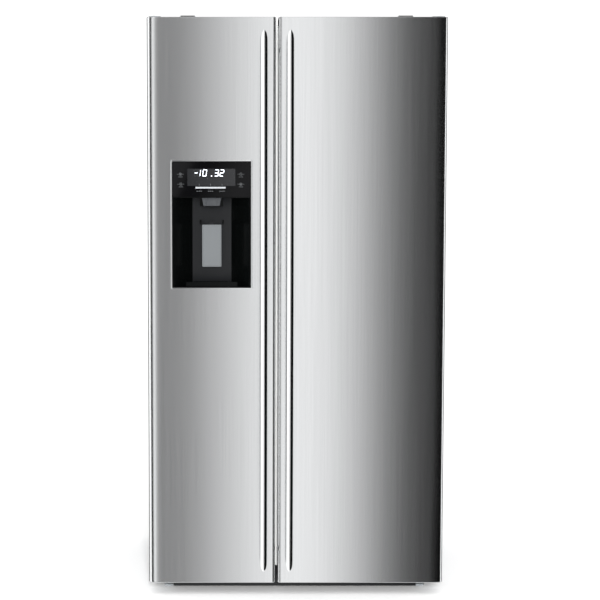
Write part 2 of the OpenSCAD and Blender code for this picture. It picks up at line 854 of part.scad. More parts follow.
// Heights of the glass shelves, the lowest over the crispers
module shelf_glass() {
    color("#cfe3e6", 0.5)
        for (z = shelf_z)
            block([fridge_x0 + 6 + shelf_rim, shelf_y0 + shelf_rim, z + 2],
                  [fridge_x1 - 6 - shelf_rim, shelf_y1 - shelf_rim, z + 2 + glass_t]);
}

// Plastic rims around the glass, and the runners that carry the drawers
module shelf_frames() {
    bevel = 4;
    color("#f2f3f3") {
        for (z = shelf_z)
            difference() {
                block([fridge_x0 + 3, shelf_y0, z - 6], [fridge_x1 - 3, shelf_y1, z + 2 + glass_t + 3]);
                block([fridge_x0 + 6 + shelf_rim + bevel, shelf_y0 + shelf_rim + bevel, z - 7],
                      [fridge_x1 - 6 - shelf_rim - bevel, shelf_y1 - shelf_rim - bevel, z + 20]);
                block([fridge_x0 + 6 + shelf_rim, shelf_y0 + shelf_rim, z + 2],
                      [fridge_x1 - 6 - shelf_rim, shelf_y1 - shelf_rim, z + 2 + glass_t]);
            }
        for (z = [lower_z, upper_z], x = [fridge_x0, fridge_x1 - 7])
            block([x, crisper_y0 + 10, z + crisper_h - 22], [x + 7, step_y - 6, z + crisper_h - 12]);
    }
}

// One crisper drawer with a pull along its front edge
module crisper(z, y1) {
    x0 = fridge_x0 + 9;
    x1 = fridge_x1 - 9;
    open_tub([x0, crisper_y0, z], [x1, y1, z + crisper_h - 2], drawer_wall);
    block([x0, crisper_y0 - 16, z + crisper_h - 34], [x1, crisper_y0 + 1, z + crisper_h - 30]);
    block([x0, crisper_y0 - 16, z + crisper_h - 46], [x1, crisper_y0 - 13, z + crisper_h - 30]);
}

module crisper_upper() {
    color("#d6e4ea", 0.6) crisper(upper_z, step_y + 100);
}

module crisper_lower() {
    color("#d6e4ea", 0.6) crisper(lower_z, step_y - 5);
}

// Air duct up the back wall with one window for the damper and rows of outlets
module air_tower() {
    wall = 3;
    x0 = fridge_mid - tower_w / 2;
    y0 = inside_y1 - tower_d;
    color("#e9eaea")
        difference() {
            union() {
                difference() {
                    block([x0, y0, crisper_lid_z + 40], [x0 + tower_w, inside_y1, inside_z1 - 20]);
                    block([x0 + wall, y0 + wall, crisper_lid_z + 40 + wall],
                          [x0 + tower_w - wall, inside_y1 + cut, inside_z1 - 20 - wall]);
                }
                // Lugs that the damper's pivots turn in
                for (side = [-1, 1])
                    translate([fridge_mid + side * (damper_w / 2 + 3), y0 + wall, damper_z])
                        block([-2, -1, -6], [2, 6, 6]);
            }
            block([fridge_mid - damper_w / 2, y0 - cut, damper_z - damper_h / 2],
                  [fridge_mid + damper_w / 2, y0 + wall + cut, damper_z + damper_h / 2]);
            for (z = [crisper_lid_z + 90:90:damper_z - 60])
                block([fridge_mid - 30, y0 - cut, z], [fridge_mid + 30, y0 + wall + cut, z + 12]);
            translate([fridge_mid, y0 + wall + 2.5, damper_z]) rod_x(2 + run_fit, damper_w + 20);
        }
}

// Motor-driven flap in the tower's window
module air_damper() {
    y = inside_y1 - tower_d + 5.5;
    color("#c8cbcc")
        translate([fridge_mid, y, damper_z]) {
            block([-damper_w / 2 + slip, -1.5, -damper_h / 2 + 2], [damper_w / 2 - slip, 1.5, damper_h / 2 - 2]);
            rod_x(2, damper_w + 10);
        }
}

// ---------------------------------------------------------------- feet and rollers

module levelling_foot() {
    cylinder(r = foot_r, h = 6);
    translate([0, 0, 5]) cylinder(r = 9, h = 10, $fn = 6);
    cylinder(r = stem_r, h = base_h - 4);
}

module left_foot() {
    color("#c9cccd") translate([-foot_x, foot_y, 0]) levelling_foot();
}

module right_foot() {
    color("#c9cccd") translate([foot_x, foot_y, 0]) levelling_foot();
}

module roller() {
    difference() {
        rod_x(roller_r, 18);
        rod_x(axle_r + run_fit, 18 + 2 * cut);
    }
}

module left_roller() {
    color("#2a2b2d") translate([-rail_x, roller_y, roller_r]) roller();
}

module right_roller() {
    color("#2a2b2d") translate([rail_x, roller_y, roller_r]) roller();
}

// ---------------------------------------------------------------- doors

// Puts a freezer door piece in place
module on_freezer_door() {
    translate([-case_x, door_y0, door_bottom]) children();
}

// Puts a fresh food door piece in place: it is hinged on the other side
module on_fridge_door() {
    translate([case_x, door_y0, door_bottom]) mirror([1, 0, 0]) children();
}

// Plan of a door, inset from its outside by one thickness
module door_plan(w, inset) {
    radii = [outer_edge_r - inset, inner_edge_r - inset];
    difference() {
        translate([inset, inset]) square([w - 2 * inset, door_t - inset]);
        for (side = [0, 1])
            translate([side == 0 ? inset : w - inset, inset]) mirror([side, 0])
                difference() {
                    translate([-cut, -cut]) square(radii[side] + cut);
                    translate([radii[side], radii[side]]) circle(radii[side]);
                }
    }
}

// Steel sheet folded round the face and both sides
module door_skin(w) {
    linear_extrude(door_h)
        difference() {
            door_plan(w, 0);
            door_plan(w, skin_t);
            translate([skin_t, door_t - cut]) square([w - 2 * skin_t, 2 * cut]);
        }
}

// Plastic plugs that close both ends of a door, bored for the hinge pins
module door_caps(w) {
    bush_l = cap_t - 3;
    for (end = [0, 1])
        translate([0, 0, end * door_h]) mirror([0, 0, end])
            difference() {
                union() {
                    linear_extrude(cap_t) door_plan(w, skin_t + edge_roll);
                    translate([0, 0, edge_roll]) linear_extrude(cap_t - edge_roll) door_plan(w, skin_t);
                }
                translate([pin_in, door_t - pin_ahead, -cut])
                    cylinder(r = pin_r + run_fit, h = bush_l + cut);
            }
}

// Rectangle of a door's raised rib, grown inwards and outwards by one thickness
module rib_frame(w, y0, y1, shrink) {
    ring_block([rib_hinge_in + shrink, y0, rib_bottom_in + shrink],
               [w - rib_free_in - shrink, y1, door_h - rib_top_in - shrink], rib_w - 2 * shrink);
}

// Insulation behind the skin, with the part that fills the rib
module door_foam(w) {
    translate([0, 0, cap_t]) linear_extrude(door_h - 2 * cap_t)
        intersection() {
            door_plan(w, skin_t);
            square([w, door_t - liner_t]);
        }
    rib_frame(w, door_t - liner_t - 1, door_t + rib_d - liner_t, liner_t);
}

// Moulded liner: a flat pan with a hollow rib that the foam fills
module door_liner(w) {
    difference() {
        union() {
            translate([skin_t, door_t - liner_t, cap_t])
                cube([w - 2 * skin_t, liner_t, door_h - 2 * cap_t]);
            rib_frame(w, door_t - liner_t, door_t + rib_d, 0);
        }
        rib_frame(w, door_t - liner_t - cut, door_t + rib_d - liner_t, liner_t);
    }
}

// Magnetic gasket on the liner's flange
module door_gasket(w) {
    ring_block([gasket_hinge_in, door_t, gasket_bottom_in],
               [w - gasket_free_in, door_t + seal_gap - gasket_play, door_h - gasket_top_in], gasket_w);
}

// One bin between the ribs
module door_bin(w, z, h, d) {
    x0 = rib_hinge_in + rib_w + 0.5;
    x1 = w - rib_free_in - rib_w - 0.5;
    open_tub([x0, door_t, z], [x1, door_t + d, z + h], bin_wall);
}

// A polished bow with a flat back, on two posts
module bar_handle(w) {
    r = handle_w / 2;
    back_flat = r / 2;
    bow_r = (handle_l * handle_l / 4 + handle_bow * handle_bow) / (2 * handle_bow);
    sweep = 2 * asin(handle_l / 2 / bow_r);
    crest = handle_reach - r;
    post_end = 46;
    post_r = r * 0.7;
    post_z = handle_l / 2 - post_end;
    translate([w - handle_inset, 0, door_h / 2]) {
        translate([0, bow_r - crest, 0]) rotate([-90, 0, 0]) rotate([0, 90, 0]) rotate([0, 0, -sweep / 2])
            rotate_extrude(angle = sweep) translate([bow_r, 0])
                intersection() {
                    circle(r);
                    translate([-back_flat, -r]) square([r + back_flat, 2 * r]);
                }
        for (end = [-1, 1])
            translate([0, -(crest - handle_bow) / 2, end * post_z])
                rod_y(post_r, crest - handle_bow);
    }
}

// ---------------------------------------------------------------- freezer door

// Plan of the recess: wide at the door's face and narrow at its back
module recess_plan(inset) {
    half_front = dispenser_w / 2 - recess_inset;
    half_back = recess_back_w / 2 + recess_wall / 2;
    slope = (half_front - half_back) / recess_d;
    polygon([
        [-half_front + inset, 0], [half_front - inset, 0],
        [half_back - inset + slope * inset, recess_d - inset],
        [-half_back + inset - slope * inset, recess_d - inset]
    ]);
}

// YZ outline of the ice duct, from the bulge's top down to the nozzle
module duct_outline(inset) {
    top = bulge_z1 + 1;
    top_y = door_t + 4;
    polygon([
        [top_y + inset, top], [door_t + bulge_d - 14 - inset, top],
        [door_t + bulge_d - 14 - inset, bulge_z1 - 30 - inset], [recess_d - 6 - inset, recess_z1 + 14],
        [recess_d - 6 - inset - 4, recess_z1 - nozzle_drop], [22 + inset, recess_z1 - nozzle_drop],
        [22 + inset, recess_z1 + 22], [top_y + inset, bulge_z1 - 12]
    ]);
}

// Space that the duct takes from the foam, the liner and the recess
module duct_space(inset) {
    translate([dispenser_x, 0, 0]) slab_x(-duct_w / 2 + inset, duct_w / 2 - inset) duct_outline(inset);
}

// Space that the whole dispenser takes from the foam
module dispenser_space() {
    translate([dispenser_x, 0, dispenser_z0]) {
        translate([-dispenser_w / 2 + 2, -cut, 2]) cube([dispenser_w - 4, 24 + cut, dispenser_h - 4]);
        translate([0, 0, 2]) linear_extrude(dispenser_h - panel_h + 2) recess_plan(0);
    }
}

// Raised block behind the dispenser, between the ribs
module bulge(shrink) {
    translate([rib_hinge_in + rib_w + shrink, door_t - liner_t - 1, bulge_z0 + shrink])
        cube([freezer_door_w - rib_hinge_in - rib_free_in - 2 * rib_w - 2 * shrink,
              bulge_d + liner_t + 1 - shrink, bulge_z1 - bulge_z0 - 2 * shrink]);
}

module freezer_door_skin() {
    color("#c3c5c7")
        on_freezer_door()
            difference() {
                door_skin(freezer_door_w);
                translate([dispenser_x - dispenser_w / 2 + 2, -cut, dispenser_z0 + 2])
                    cube([dispenser_w - 4, skin_t + 2 * cut, dispenser_h - 4]);
            }
}

module freezer_door_caps() {
    color("#3b3e40") on_freezer_door() door_caps(freezer_door_w);
}

module freezer_door_foam() {
    color("#e8d9a8")
        on_freezer_door()
            difference() {
                union() {
                    door_foam(freezer_door_w);
                    bulge(liner_t);
                }
                dispenser_space();
                duct_space(0);
            }
}

module freezer_door_liner() {
    color("#f4f5f5")
        on_freezer_door()
            difference() {
                union() {
                    door_liner(freezer_door_w);
                    bulge(0);
                }
                bulge(liner_t);
                translate([rib_hinge_in + rib_w + liner_t, door_t - 2 * liner_t - 2, bulge_z0 + liner_t])
                    cube([freezer_door_w - rib_hinge_in - rib_free_in - 2 * rib_w - 2 * liner_t,
                          3 * liner_t + 2, bulge_z1 - bulge_z0 - 2 * liner_t]);
                block([0, door_t - liner_t - 2, 0], [freezer_door_w, door_t - liner_t, door_h]);
                duct_space(0);
            }
}

module freezer_door_gasket() {
    color("#d5d6d6") on_freezer_door() door_gasket(freezer_door_w);
}

// Heights of the freezer door's bins, from the lower edge of the rib
module freezer_door_bins() {
    first = rib_bottom_in + rib_w + 10;
    top_bin = door_h - rib_top_in - rib_w - bin_h + 14;
    color("#e4eef2", 0.6)
        on_freezer_door() {
            for (row = [0:2])
                door_bin(freezer_door_w, first + row * freezer_bin_pitch, bin_h, freezer_bin_d);
            door_bin(freezer_door_w, top_bin, bin_h - 16, freezer_bin_d - 10);
        }
}

module freezer_handle() {
    color("#d8dadb") on_freezer_door() bar_handle(freezer_door_w);
}

// Outline of the dispenser's frame, inset by one thickness
module bezel_outline(inset) {
    corner_r = 5;
    translate([inset - dispenser_w / 2, inset])
        round_rect(dispenser_w - 2 * inset, dispenser_h - 2 * inset, corner_r - inset);
}

// Bright frame around the whole dispenser: a lip over the skin and a collar through it
module dispenser_bezel() {
    lip = 2;
    color("#b9bcbe")
        on_freezer_door() translate([dispenser_x, bezel_d - bezel_proud, dispenser_z0]) rotate([90, 0, 0])
            difference() {
                union() {
                    linear_extrude(bezel_d) bezel_outline(lip);
                    translate([0, 0, bezel_d - bezel_proud]) linear_extrude(bezel_proud) bezel_outline(0);
                }
                translate([0, 0, -cut]) linear_extrude(bezel_d + 2 * cut) bezel_outline(bezel_w);
            }
}

// Black fascia over the recess, with a sunk window for the display
module control_panel() {
    half = dispenser_w / 2 - recess_inset;
    color("#0c0d0e")
        on_freezer_door() translate([dispenser_x, 0, dispenser_z1])
            difference() {
                block([-half, -0.5, -panel_h], [half, panel_t, -recess_inset]);
                block([-window_w / 2, -0.5 - cut, -window_drop - window_h],
                      [window_w / 2, -0.5 + panel_sink, -window_drop]);
            }
}

// Slanted seven-segment figures: a minus sign, two pairs of digits and their strokes
// Strokes lit in each figure: top, upper right, lower right, bottom, lower left, upper left, middle
function strokes(figure) =
    figure == 0 ? [1, 1, 1, 1, 1, 1, 0] :
    figure == 1 ? [0, 1, 1, 0, 0, 0, 0] :
    figure == 2 ? [1, 1, 0, 1, 1, 0, 1] :
    figure == 3 ? [1, 1, 1, 1, 0, 0, 1] : [0, 0, 0, 0, 0, 0, 1];
module figure_strokes(figure) {
    slant = 0.12;
    gap = 0.4;
    places = [
        [0, digit_h, 0], [digit_w, digit_h / 2, 1], [digit_w, 0, 1], [0, 0, 0],
        [0, 0, 1], [0, digit_h / 2, 1], [0, digit_h / 2, 0]
    ];
    for (index = [0:6])
        if (strokes(figure)[index] == 1) {
            place = places[index];
            upright = place[2] == 1;
            run = upright ? digit_h / 2 - gap : digit_w - gap;
            x = place[0] + slant * (place[1] + (upright ? run / 2 : 0));
            translate([x + (upright ? 0 : digit_w / 2), 0, place[1] + (upright ? digit_h / 4 : 0)])
                cube([upright ? stroke : run - stroke, 0.3, upright ? run - stroke : stroke], center = true);
        }
}
module display_digits() {
    starts = [[-43, 4], [-31, 1], [-18, 0], [19, 3], [34, 2]];
    color("#eef6ff")
        on_freezer_door()
            translate([dispenser_x - 6, panel_sink - 0.65, dispenser_z1 - window_drop - 34])
                for (start = starts)
                    translate([start[0], 0, 0]) figure_strokes(start[1]);
}

// Hollow behind the glass and the paddle, with the lugs that carry the paddle's rod
module dispenser_recess() {
    height = dispenser_h - panel_h - recess_inset;
    lug_x = paddle_w / 2 + 5;
    color("#0f1011")
        on_freezer_door() translate([dispenser_x, 0, 0])
            difference() {
                union() {
                    translate([0, 0, dispenser_z0 + recess_inset])
                        difference() {
                            linear_extrude(height) recess_plan(0);
                            translate([0, 0, recess_wall])
                                linear_extrude(height - 2 * recess_wall) recess_plan(recess_wall);
                            translate([-dispenser_w / 2 + recess_inset + recess_wall, -cut, recess_wall])
                                cube([dispenser_w - 2 * recess_inset - 2 * recess_wall, cut + 0.2,
                                      height - 2 * recess_wall]);
                        }
                    for (side = [-1, 1])
                        block([side * lug_x - 2, paddle_y - 4, paddle_pivot_z - 6],
                              [side * lug_x + 2, recess_d - recess_wall + 0.5, paddle_pivot_z + 6]);
                }
                translate([0, paddle_y + paddle_t / 2, paddle_pivot_z])
                    rod_x(paddle_rod_r + run_fit, 2 * lug_x + 10);
                translate([-dispenser_x, 0, 0]) duct_space(0);
            }
}

// Ice duct that ends in the nozzle over the recess
module dispenser_chute() {
    color("#6d7073")
        on_freezer_door()
            difference() {
                duct_space(0);
                translate([dispenser_x, 0, 0])
                    slab_x(-duct_w / 2 + duct_wall, duct_w / 2 - duct_wall)
                        duct_outline(duct_wall);
                block([dispenser_x - duct_w / 2 + duct_wall, 22 + duct_wall, recess_z1 - nozzle_drop - cut],
                      [dispenser_x + duct_w / 2 - duct_wall, recess_d - 10 - duct_wall,
                       recess_z1 - nozzle_drop + cut]);
                block([dispenser_x - duct_w / 2 + duct_wall, door_t + 4 + duct_wall, bulge_z1 - cut],
                      [dispenser_x + duct_w / 2 - duct_wall, door_t + bulge_d - 14 - duct_wall,
                       bulge_z1 + 2 * cut]);
            }
}

// Paddle that a glass pushes back
module dispenser_paddle() {
    color("#9a9da0")
        on_freezer_door() translate([dispenser_x, paddle_y, 0]) {
            block([-paddle_w / 2, 0, paddle_pivot_z - 8 - paddle_h],
                  [paddle_w / 2, paddle_t, paddle_pivot_z - 8]);
            block([-paddle_w / 4, 1, paddle_pivot_z - 9], [paddle_w / 4, paddle_t - 1, paddle_pivot_z]);
            translate([0, paddle_t / 2, paddle_pivot_z]) rod_x(paddle_rod_r, paddle_w + 14);
        }
}

// Flap that closes the duct until the paddle is pushed
module duct_flap() {
    flap_l = 24;
    color("#e9eaea")
        on_freezer_door() translate([dispenser_x, flap_pivot_y, flap_pivot_z]) {
            block([-duct_w / 2 + duct_wall + slip, -flap_l, -1.5], [duct_w / 2 - duct_wall - slip, 0, 1.5]);
            rod_x(2, duct_w - 2 * duct_wall - 2 * slip);
        }
}

// Drip tray with a slotted top, which draws out forwards
module drip_tray() {
    z0 = dispenser_z0 + recess_inset + recess_wall + 0.3;
    top = z0 + tray_h;
    front_y = 9;
    half_back = recess_back_w / 2 - 2;
    color("#17191b")
        on_freezer_door() translate([dispenser_x, 0, 0])
            difference() {
                union() {
                    block([-half_back, front_y, z0], [half_back, recess_d - recess_wall - slip, top]);
                    block([-half_back - 20, front_y, z0], [half_back + 20, front_y + 14, top]);
                }
                block([-half_back + 3, front_y + 17, z0 + 3],
                      [half_back - 3, recess_d - recess_wall - slip - 3, top - 3]);
                for (slot = [0:8])
                    block([-half_back + 7 + slot * (2 * half_back - 14) / 9, front_y + 20, top - 4],
                          [-half_back + 14 + slot * (2 * half_back - 14) / 9,
                           recess_d - recess_wall - slip - 6, top + cut]);
            }
}

// ---------------------------------------------------------------- fresh food door

module fridge_door_skin() {
    color("#c3c5c7") on_fridge_door() door_skin(fridge_door_w);
}

module fridge_door_caps() {
    color("#3b3e40") on_fridge_door() door_caps(fridge_door_w);
}

module fridge_door_foam() {
    color("#e8d9a8") on_fridge_door() door_foam(fridge_door_w);
}

module fridge_door_liner() {
    color("#f4f5f5") on_fridge_door() door_liner(fridge_door_w);
}

module fridge_door_gasket() {
    color("#d5d6d6") on_fridge_door() door_gasket(fridge_door_w);
}

// Bins up the door, and the dairy box at the top that the lid closes
module fridge_door_bins() {
    first = rib_bottom_in + rib_w + 10;
    x0 = rib_hinge_in + rib_w + 0.5;
    x1 = fridge_door_w - rib_free_in - rib_w - 0.5;
    lug_z = dairy_z + dairy_h - 8;
    color("#e4eef2", 0.6)
        on_fridge_door() {
            for (row = [0:bin_rows - 1])
                door_bin(fridge_door_w, first + row * fridge_bin_pitch, bin_h + (row == 0 ? 24 : 0), fridge_bin_d);
            difference() {
                block([x0, door_t, dairy_z], [x1, door_t + dairy_d, dairy_z + dairy_h]);
                block([x0 + bin_wall, door_t + bin_wall, dairy_z + bin_wall],
                      [x1 - bin_wall, door_t + dairy_d + cut, dairy_z + dairy_h - bin_wall]);
                translate([(x0 + x1) / 2, door_t + dairy_d - 5, lug_z])
                    rod_x(2 + run_fit, x1 - x0 + 10);
            }
        }
}

// Clear lid that swings up over the dairy box
module dairy_lid() {
    x0 = rib_hinge_in + rib_w + 0.5 + bin_wall + slip;
    x1 = fridge_door_w - rib_free_in - rib_w - 0.5 - bin_wall - slip;
    color("#dfeaf0", 0.6)
        on_fridge_door() {
            block([x0, lid_y - 1.5, dairy_z + bin_wall + slip], [x1, lid_y + 1.5, lid_z]);
            translate([(x0 + x1) / 2, lid_y, lid_z]) rod_x(2, x1 - x0 + 4);
            block([(x0 + x1) / 2 - 40, lid_y + 1, dairy_z + 12], [(x0 + x1) / 2 + 40, lid_y + 9, dairy_z + 16]);
        }
}

module fridge_handle() {
    color("#d8dadb") on_fridge_door() bar_handle(fridge_door_w);
}

// ---------------------------------------------------------------- nodes

outer_case();
back_panel();
foam_core();
freezer_liner();
fridge_liner();
front_frame();
base_frame();
base_grille();
top_hinges();
hinge_covers();
bottom_hinges();
compressor();
condenser();
fan_shroud();
condenser_fan();
machine_cover();
water_fittings();
water_filter();
power_inlet();
evaporator();
evaporator_cover();
evaporator_fan();
air_tower();
air_damper();
freezer_shelves();
freezer_basket();
shelf_glass();
shelf_frames();
crisper_upper();
crisper_lower();
ice_maker();
ice_bucket();
ice_auger();
left_foot();
right_foot();
left_roller();
right_roller();
freezer_door_skin();
freezer_door_caps();
freezer_door_foam();
freezer_door_liner();
freezer_door_gasket();
freezer_door_bins();
freezer_handle();
dispenser_bezel();
control_panel();
display_digits();
dispenser_recess();
dispenser_chute();
dispenser_paddle();
duct_flap();
drip_tray();
fridge_door_skin();
fridge_door_caps();
fridge_door_foam();
fridge_door_liner();
fridge_door_gasket();
fridge_door_bins();
dairy_lid();
fridge_handle();
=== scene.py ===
# %% [markdown]
# # Side by side refrigerator
# A free-standing refrigerator with a narrow freezer door on the left and a wide fresh food door on
# the right. The doors are folded from brushed stainless sheet around a foam core, the cabinet is
# painted steel, and everything inside is moulded plastic, wire and glass.
# The CAD model gives every size and place. This file gives the finishes, and remakes the few
# pieces whose look depends on soft edges, such as the door skins and the bar handles.

import itertools
import math

import bmesh
import bpy
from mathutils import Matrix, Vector


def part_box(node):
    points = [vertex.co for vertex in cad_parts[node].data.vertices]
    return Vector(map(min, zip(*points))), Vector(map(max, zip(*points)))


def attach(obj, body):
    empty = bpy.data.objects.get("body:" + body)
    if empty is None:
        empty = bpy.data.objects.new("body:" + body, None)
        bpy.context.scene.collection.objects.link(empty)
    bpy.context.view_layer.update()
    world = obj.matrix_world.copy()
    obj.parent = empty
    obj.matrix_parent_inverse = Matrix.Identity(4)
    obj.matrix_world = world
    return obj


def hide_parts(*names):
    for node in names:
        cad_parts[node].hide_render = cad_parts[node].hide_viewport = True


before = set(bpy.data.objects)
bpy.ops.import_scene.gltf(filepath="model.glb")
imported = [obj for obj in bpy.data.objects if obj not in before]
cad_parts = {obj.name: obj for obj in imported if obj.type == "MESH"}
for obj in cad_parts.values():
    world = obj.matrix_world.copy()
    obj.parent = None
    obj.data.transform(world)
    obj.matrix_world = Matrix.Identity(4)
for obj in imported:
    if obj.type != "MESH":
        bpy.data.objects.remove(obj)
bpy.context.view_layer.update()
mm = 0.001  # one millimetre, in the metres of the frame

# %% [markdown]
# ## Tools for materials
# A hex colour is what a paint chart gives, so it is turned once into the linear values that a
# shader works with. The second function adds one shader node, with its settings and its links, so
# that a material reads as a short list of steps.

# %% Colour and shader helpers
def colour(code):
    """A hex sRGB colour as linear red, green, blue and alpha."""
    parts = [int(code[i : i + 2], 16) / 255 for i in (0, 2, 4)]
    linear = [c / 12.92 if c <= 0.04045 else ((c + 0.055) / 1.055) ** 2.4 for c in parts]
    return (*linear, 1.0)


def add(tree, kind, settings=None, **inputs):
    """Adds a node to a tree. An input is a plain value, or another node's output socket."""
    new = tree.nodes.new(kind)
    for name, value in (settings or {}).items():
        setattr(new, name, value)
    for name, value in inputs.items():
        key = int(name[1:]) if name[0] == "n" and name[1:].isdigit() else name.replace("_", " ")
        socket = new.inputs[key]
        if isinstance(value, bpy.types.NodeSocket):
            tree.links.new(value, socket)
        else:
            socket.default_value = value
    return new


def material(name, **inputs):
    """A material with one surface shader, whose typical values are given here."""
    made = bpy.data.materials.new(name)
    made.use_nodes = True
    made.node_tree.nodes.clear()
    shader = add(made.node_tree, "ShaderNodeBsdfPrincipled", **inputs)
    add(made.node_tree, "ShaderNodeOutputMaterial", Surface=shader.outputs[0])
    return made, made.node_tree, shader


def place(tree, scale=(1, 1, 1)):
    """Where a point is on the object, in metres, stretched by scale."""
    coordinates = add(tree, "ShaderNodeTexCoord")
    mapping = add(tree, "ShaderNodeMapping", Vector=coordinates.outputs["Object"], Scale=scale)
    return mapping.outputs[0]


def noise(tree, vector, size, detail=2.0):
    """Even noise whose grains are about size metres wide."""
    return add(tree, "ShaderNodeTexNoise", Vector=vector, Scale=1 / size, Detail=detail).outputs[0]


def between(tree, value, low, high):
    """Spreads a value of 0 to 1 between low and high."""
    return add(tree, "ShaderNodeMapRange", Value=value, To_Min=low, To_Max=high).outputs[0]


def bump(tree, shader, height, distance):
    """Roughens a surface by distance metres."""
    rough = add(tree, "ShaderNodeBump", Height=height, Distance=distance)
    tree.links.new(rough.outputs[0], shader.inputs["Normal"])


# %% [markdown]
# ## Stainless steel
# The doors are stainless sheet with a vertical brushed grain. The fine scratches spread a
# reflection sideways and leave it sharp up and down, so the shader is anisotropic with its tangent
# running round the upright axis. Stretched noise stands for the grain itself. The handles are the
# same steel, polished, so they show a much crisper reflection.

# %% Brushed and polished steel
brushed_steel, tree, shader = material(
    "brushed stainless steel", Metallic=1.0, Anisotropic=0.75
)
grain = noise(tree, place(tree, (1, 1, 0.002)), 0.0007, 3)
streak = noise(tree, place(tree, (1, 1, 0.02)), 0.012, 2)
tint = add(
    tree, "ShaderNodeMix", {"data_type": "RGBA"}, n0=grain, n6=colour("c3c4c5"), n7=colour("d6d7d8")
)
tree.links.new(tint.outputs[2], shader.inputs["Base Color"])
tree.links.new(between(tree, streak, 0.135, 0.16), shader.inputs["Roughness"])
tangent = add(tree, "ShaderNodeTangent", {"direction_type": "RADIAL", "axis": "Z"})
tree.links.new(tangent.outputs[0], shader.inputs["Tangent"])
bump(tree, shader, grain, 0.0000015)

polished_steel, tree, shader = material(
    "polished stainless steel", Base_Color=colour("d4d5d6"), Metallic=1.0
)
smear = noise(tree, place(tree, (1, 1, 0.1)), 0.01, 3)
tree.links.new(between(tree, smear, 0.07, 0.13), shader.inputs["Roughness"])
print("steel:", brushed_steel.name, "and", polished_steel.name)

# %% [markdown]
# ## Painted and plated sheet
# The cabinet is prepainted steel with a very fine orange peel. The chassis is zinc plated, which
# shows as pale grey patches with a soft sheen. The tubes and fins are bare aluminium.

# %% Paint, zinc and aluminium
def painted(name, code, roughness, peel=0.00004):
    """Sheet metal under a baked paint, with a slight orange peel."""
    made, tree, shader = material(name, Base_Color=colour(code))
    ripple = noise(tree, place(tree), 0.0022, 3)
    tree.links.new(
        between(tree, ripple, roughness - 0.05, roughness + 0.05), shader.inputs["Roughness"]
    )
    bump(tree, shader, ripple, peel)
    return made


def bare_metal(name, dark, light, patch, low, high, metallic=1.0):
    """Bare or plated metal whose shade and roughness drift from place to place."""
    made, tree, shader = material(name, Metallic=metallic)
    drift = noise(tree, place(tree), patch, 4)
    mix = add(
        tree, "ShaderNodeMix", {"data_type": "RGBA"}, n0=drift, n6=colour(dark), n7=colour(light)
    )
    tree.links.new(mix.outputs[2], shader.inputs["Base Color"])
    tree.links.new(between(tree, drift, low, high), shader.inputs["Roughness"])
    return made


case_paint = painted("grey cabinet paint", "8b8e90", 0.42)
flange_paint = painted("white flange paint", "e3e4e3", 0.38)
black_paint = painted("black enamel", "16171a", 0.35)
# The chromate over the zinc is dull, so it scatters most of the light
zinc = bare_metal("zinc plated steel", "8d9295", "a4a8ab", 0.012, 0.4, 0.55, 0.25)
screw_steel = bare_metal("bright screw steel", "b4b8ba", "cdd0d2", 0.004, 0.22, 0.32)
aluminium = bare_metal("rolled aluminium", "b3b6b8", "cfd1d2", 0.03, 0.22, 0.38)
wire_coat = painted("white coated wire", "e9ebec", 0.3, 0.00002)

# %% [markdown]
# ## Plastics
# Moulded parts have a spark-eroded texture unless they are meant to be clear or glossy. The
# liners are vacuum formed white sheet, so they are smoother than the moulded trim. The clear bins
# and drawers are polystyrene, and are modelled as thin walls that let light pass.

# %% Moulded, glossy and clear plastics
def moulded(name, code, roughness=0.45, grain_size=0.0007, depth=0.00003, gloss=0.5):
    """Opaque plastic with the fine texture of its mould."""
    made, tree, shader = material(name, Base_Color=colour(code), Specular_IOR_Level=gloss)
    texture = noise(tree, place(tree), grain_size, 2)
    tree.links.new(
        between(tree, texture, roughness - 0.06, roughness + 0.06), shader.inputs["Roughness"]
    )
    bump(tree, shader, texture, depth)
    return made


def clear(name, code, ior, roughness, through):
    """A thin clear wall: light passes straight through it, and it still shines at a slant."""
    made = bpy.data.materials.new(name)
    made.use_nodes = True
    tree = made.node_tree
    tree.nodes.clear()
    haze = noise(tree, place(tree), 0.02, 3)
    shine = add(
        tree,
        "ShaderNodeBsdfGlossy",
        Color=(1, 1, 1, 1),
        Roughness=between(tree, haze, roughness, roughness + 0.06),
    )
    tinted = add(tree, "ShaderNodeBsdfTransparent", Color=colour(code))
    body = add(tree, "ShaderNodeBsdfDiffuse", Color=colour(code))
    wall = add(tree, "ShaderNodeMixShader", n0=through, n1=body.outputs[0], n2=tinted.outputs[0])
    edge = add(tree, "ShaderNodeFresnel", IOR=ior)
    both = add(
        tree, "ShaderNodeMixShader", n0=edge.outputs[0], n1=wall.outputs[0], n2=shine.outputs[0]
    )
    add(tree, "ShaderNodeOutputMaterial", Surface=both.outputs[0])
    return made


liner_white = moulded("white formed liner", "cbcfd1", 0.28, 0.004, 0.00002)
white_plastic = moulded("white moulded plastic", "cdd1d3", 0.4)
black_plastic = moulded("black moulded plastic", "121315", 0.42)
gloss_black = moulded("gloss black fascia", "040405", 0.1, 0.01, 0.000002, 0.12)
recess_black = moulded("satin black recess", "040505", 0.2, 0.0012, 0.000004, 0.12)
clear_plastic = clear("clear polystyrene", "e6eef1", 1.59, 0.05, 0.82)
shelf_glass = clear("toughened glass", "d3e8e1", 1.52, 0.01, 0.9)
print("plastics done")

# %% [markdown]
# ## Rubber, foam and board
# The gaskets are soft PVC, the rollers and feet are harder rubber, the foam is the pale yellow of
# blown polyurethane with open cells, and the machine compartment is closed by a ribbed board.

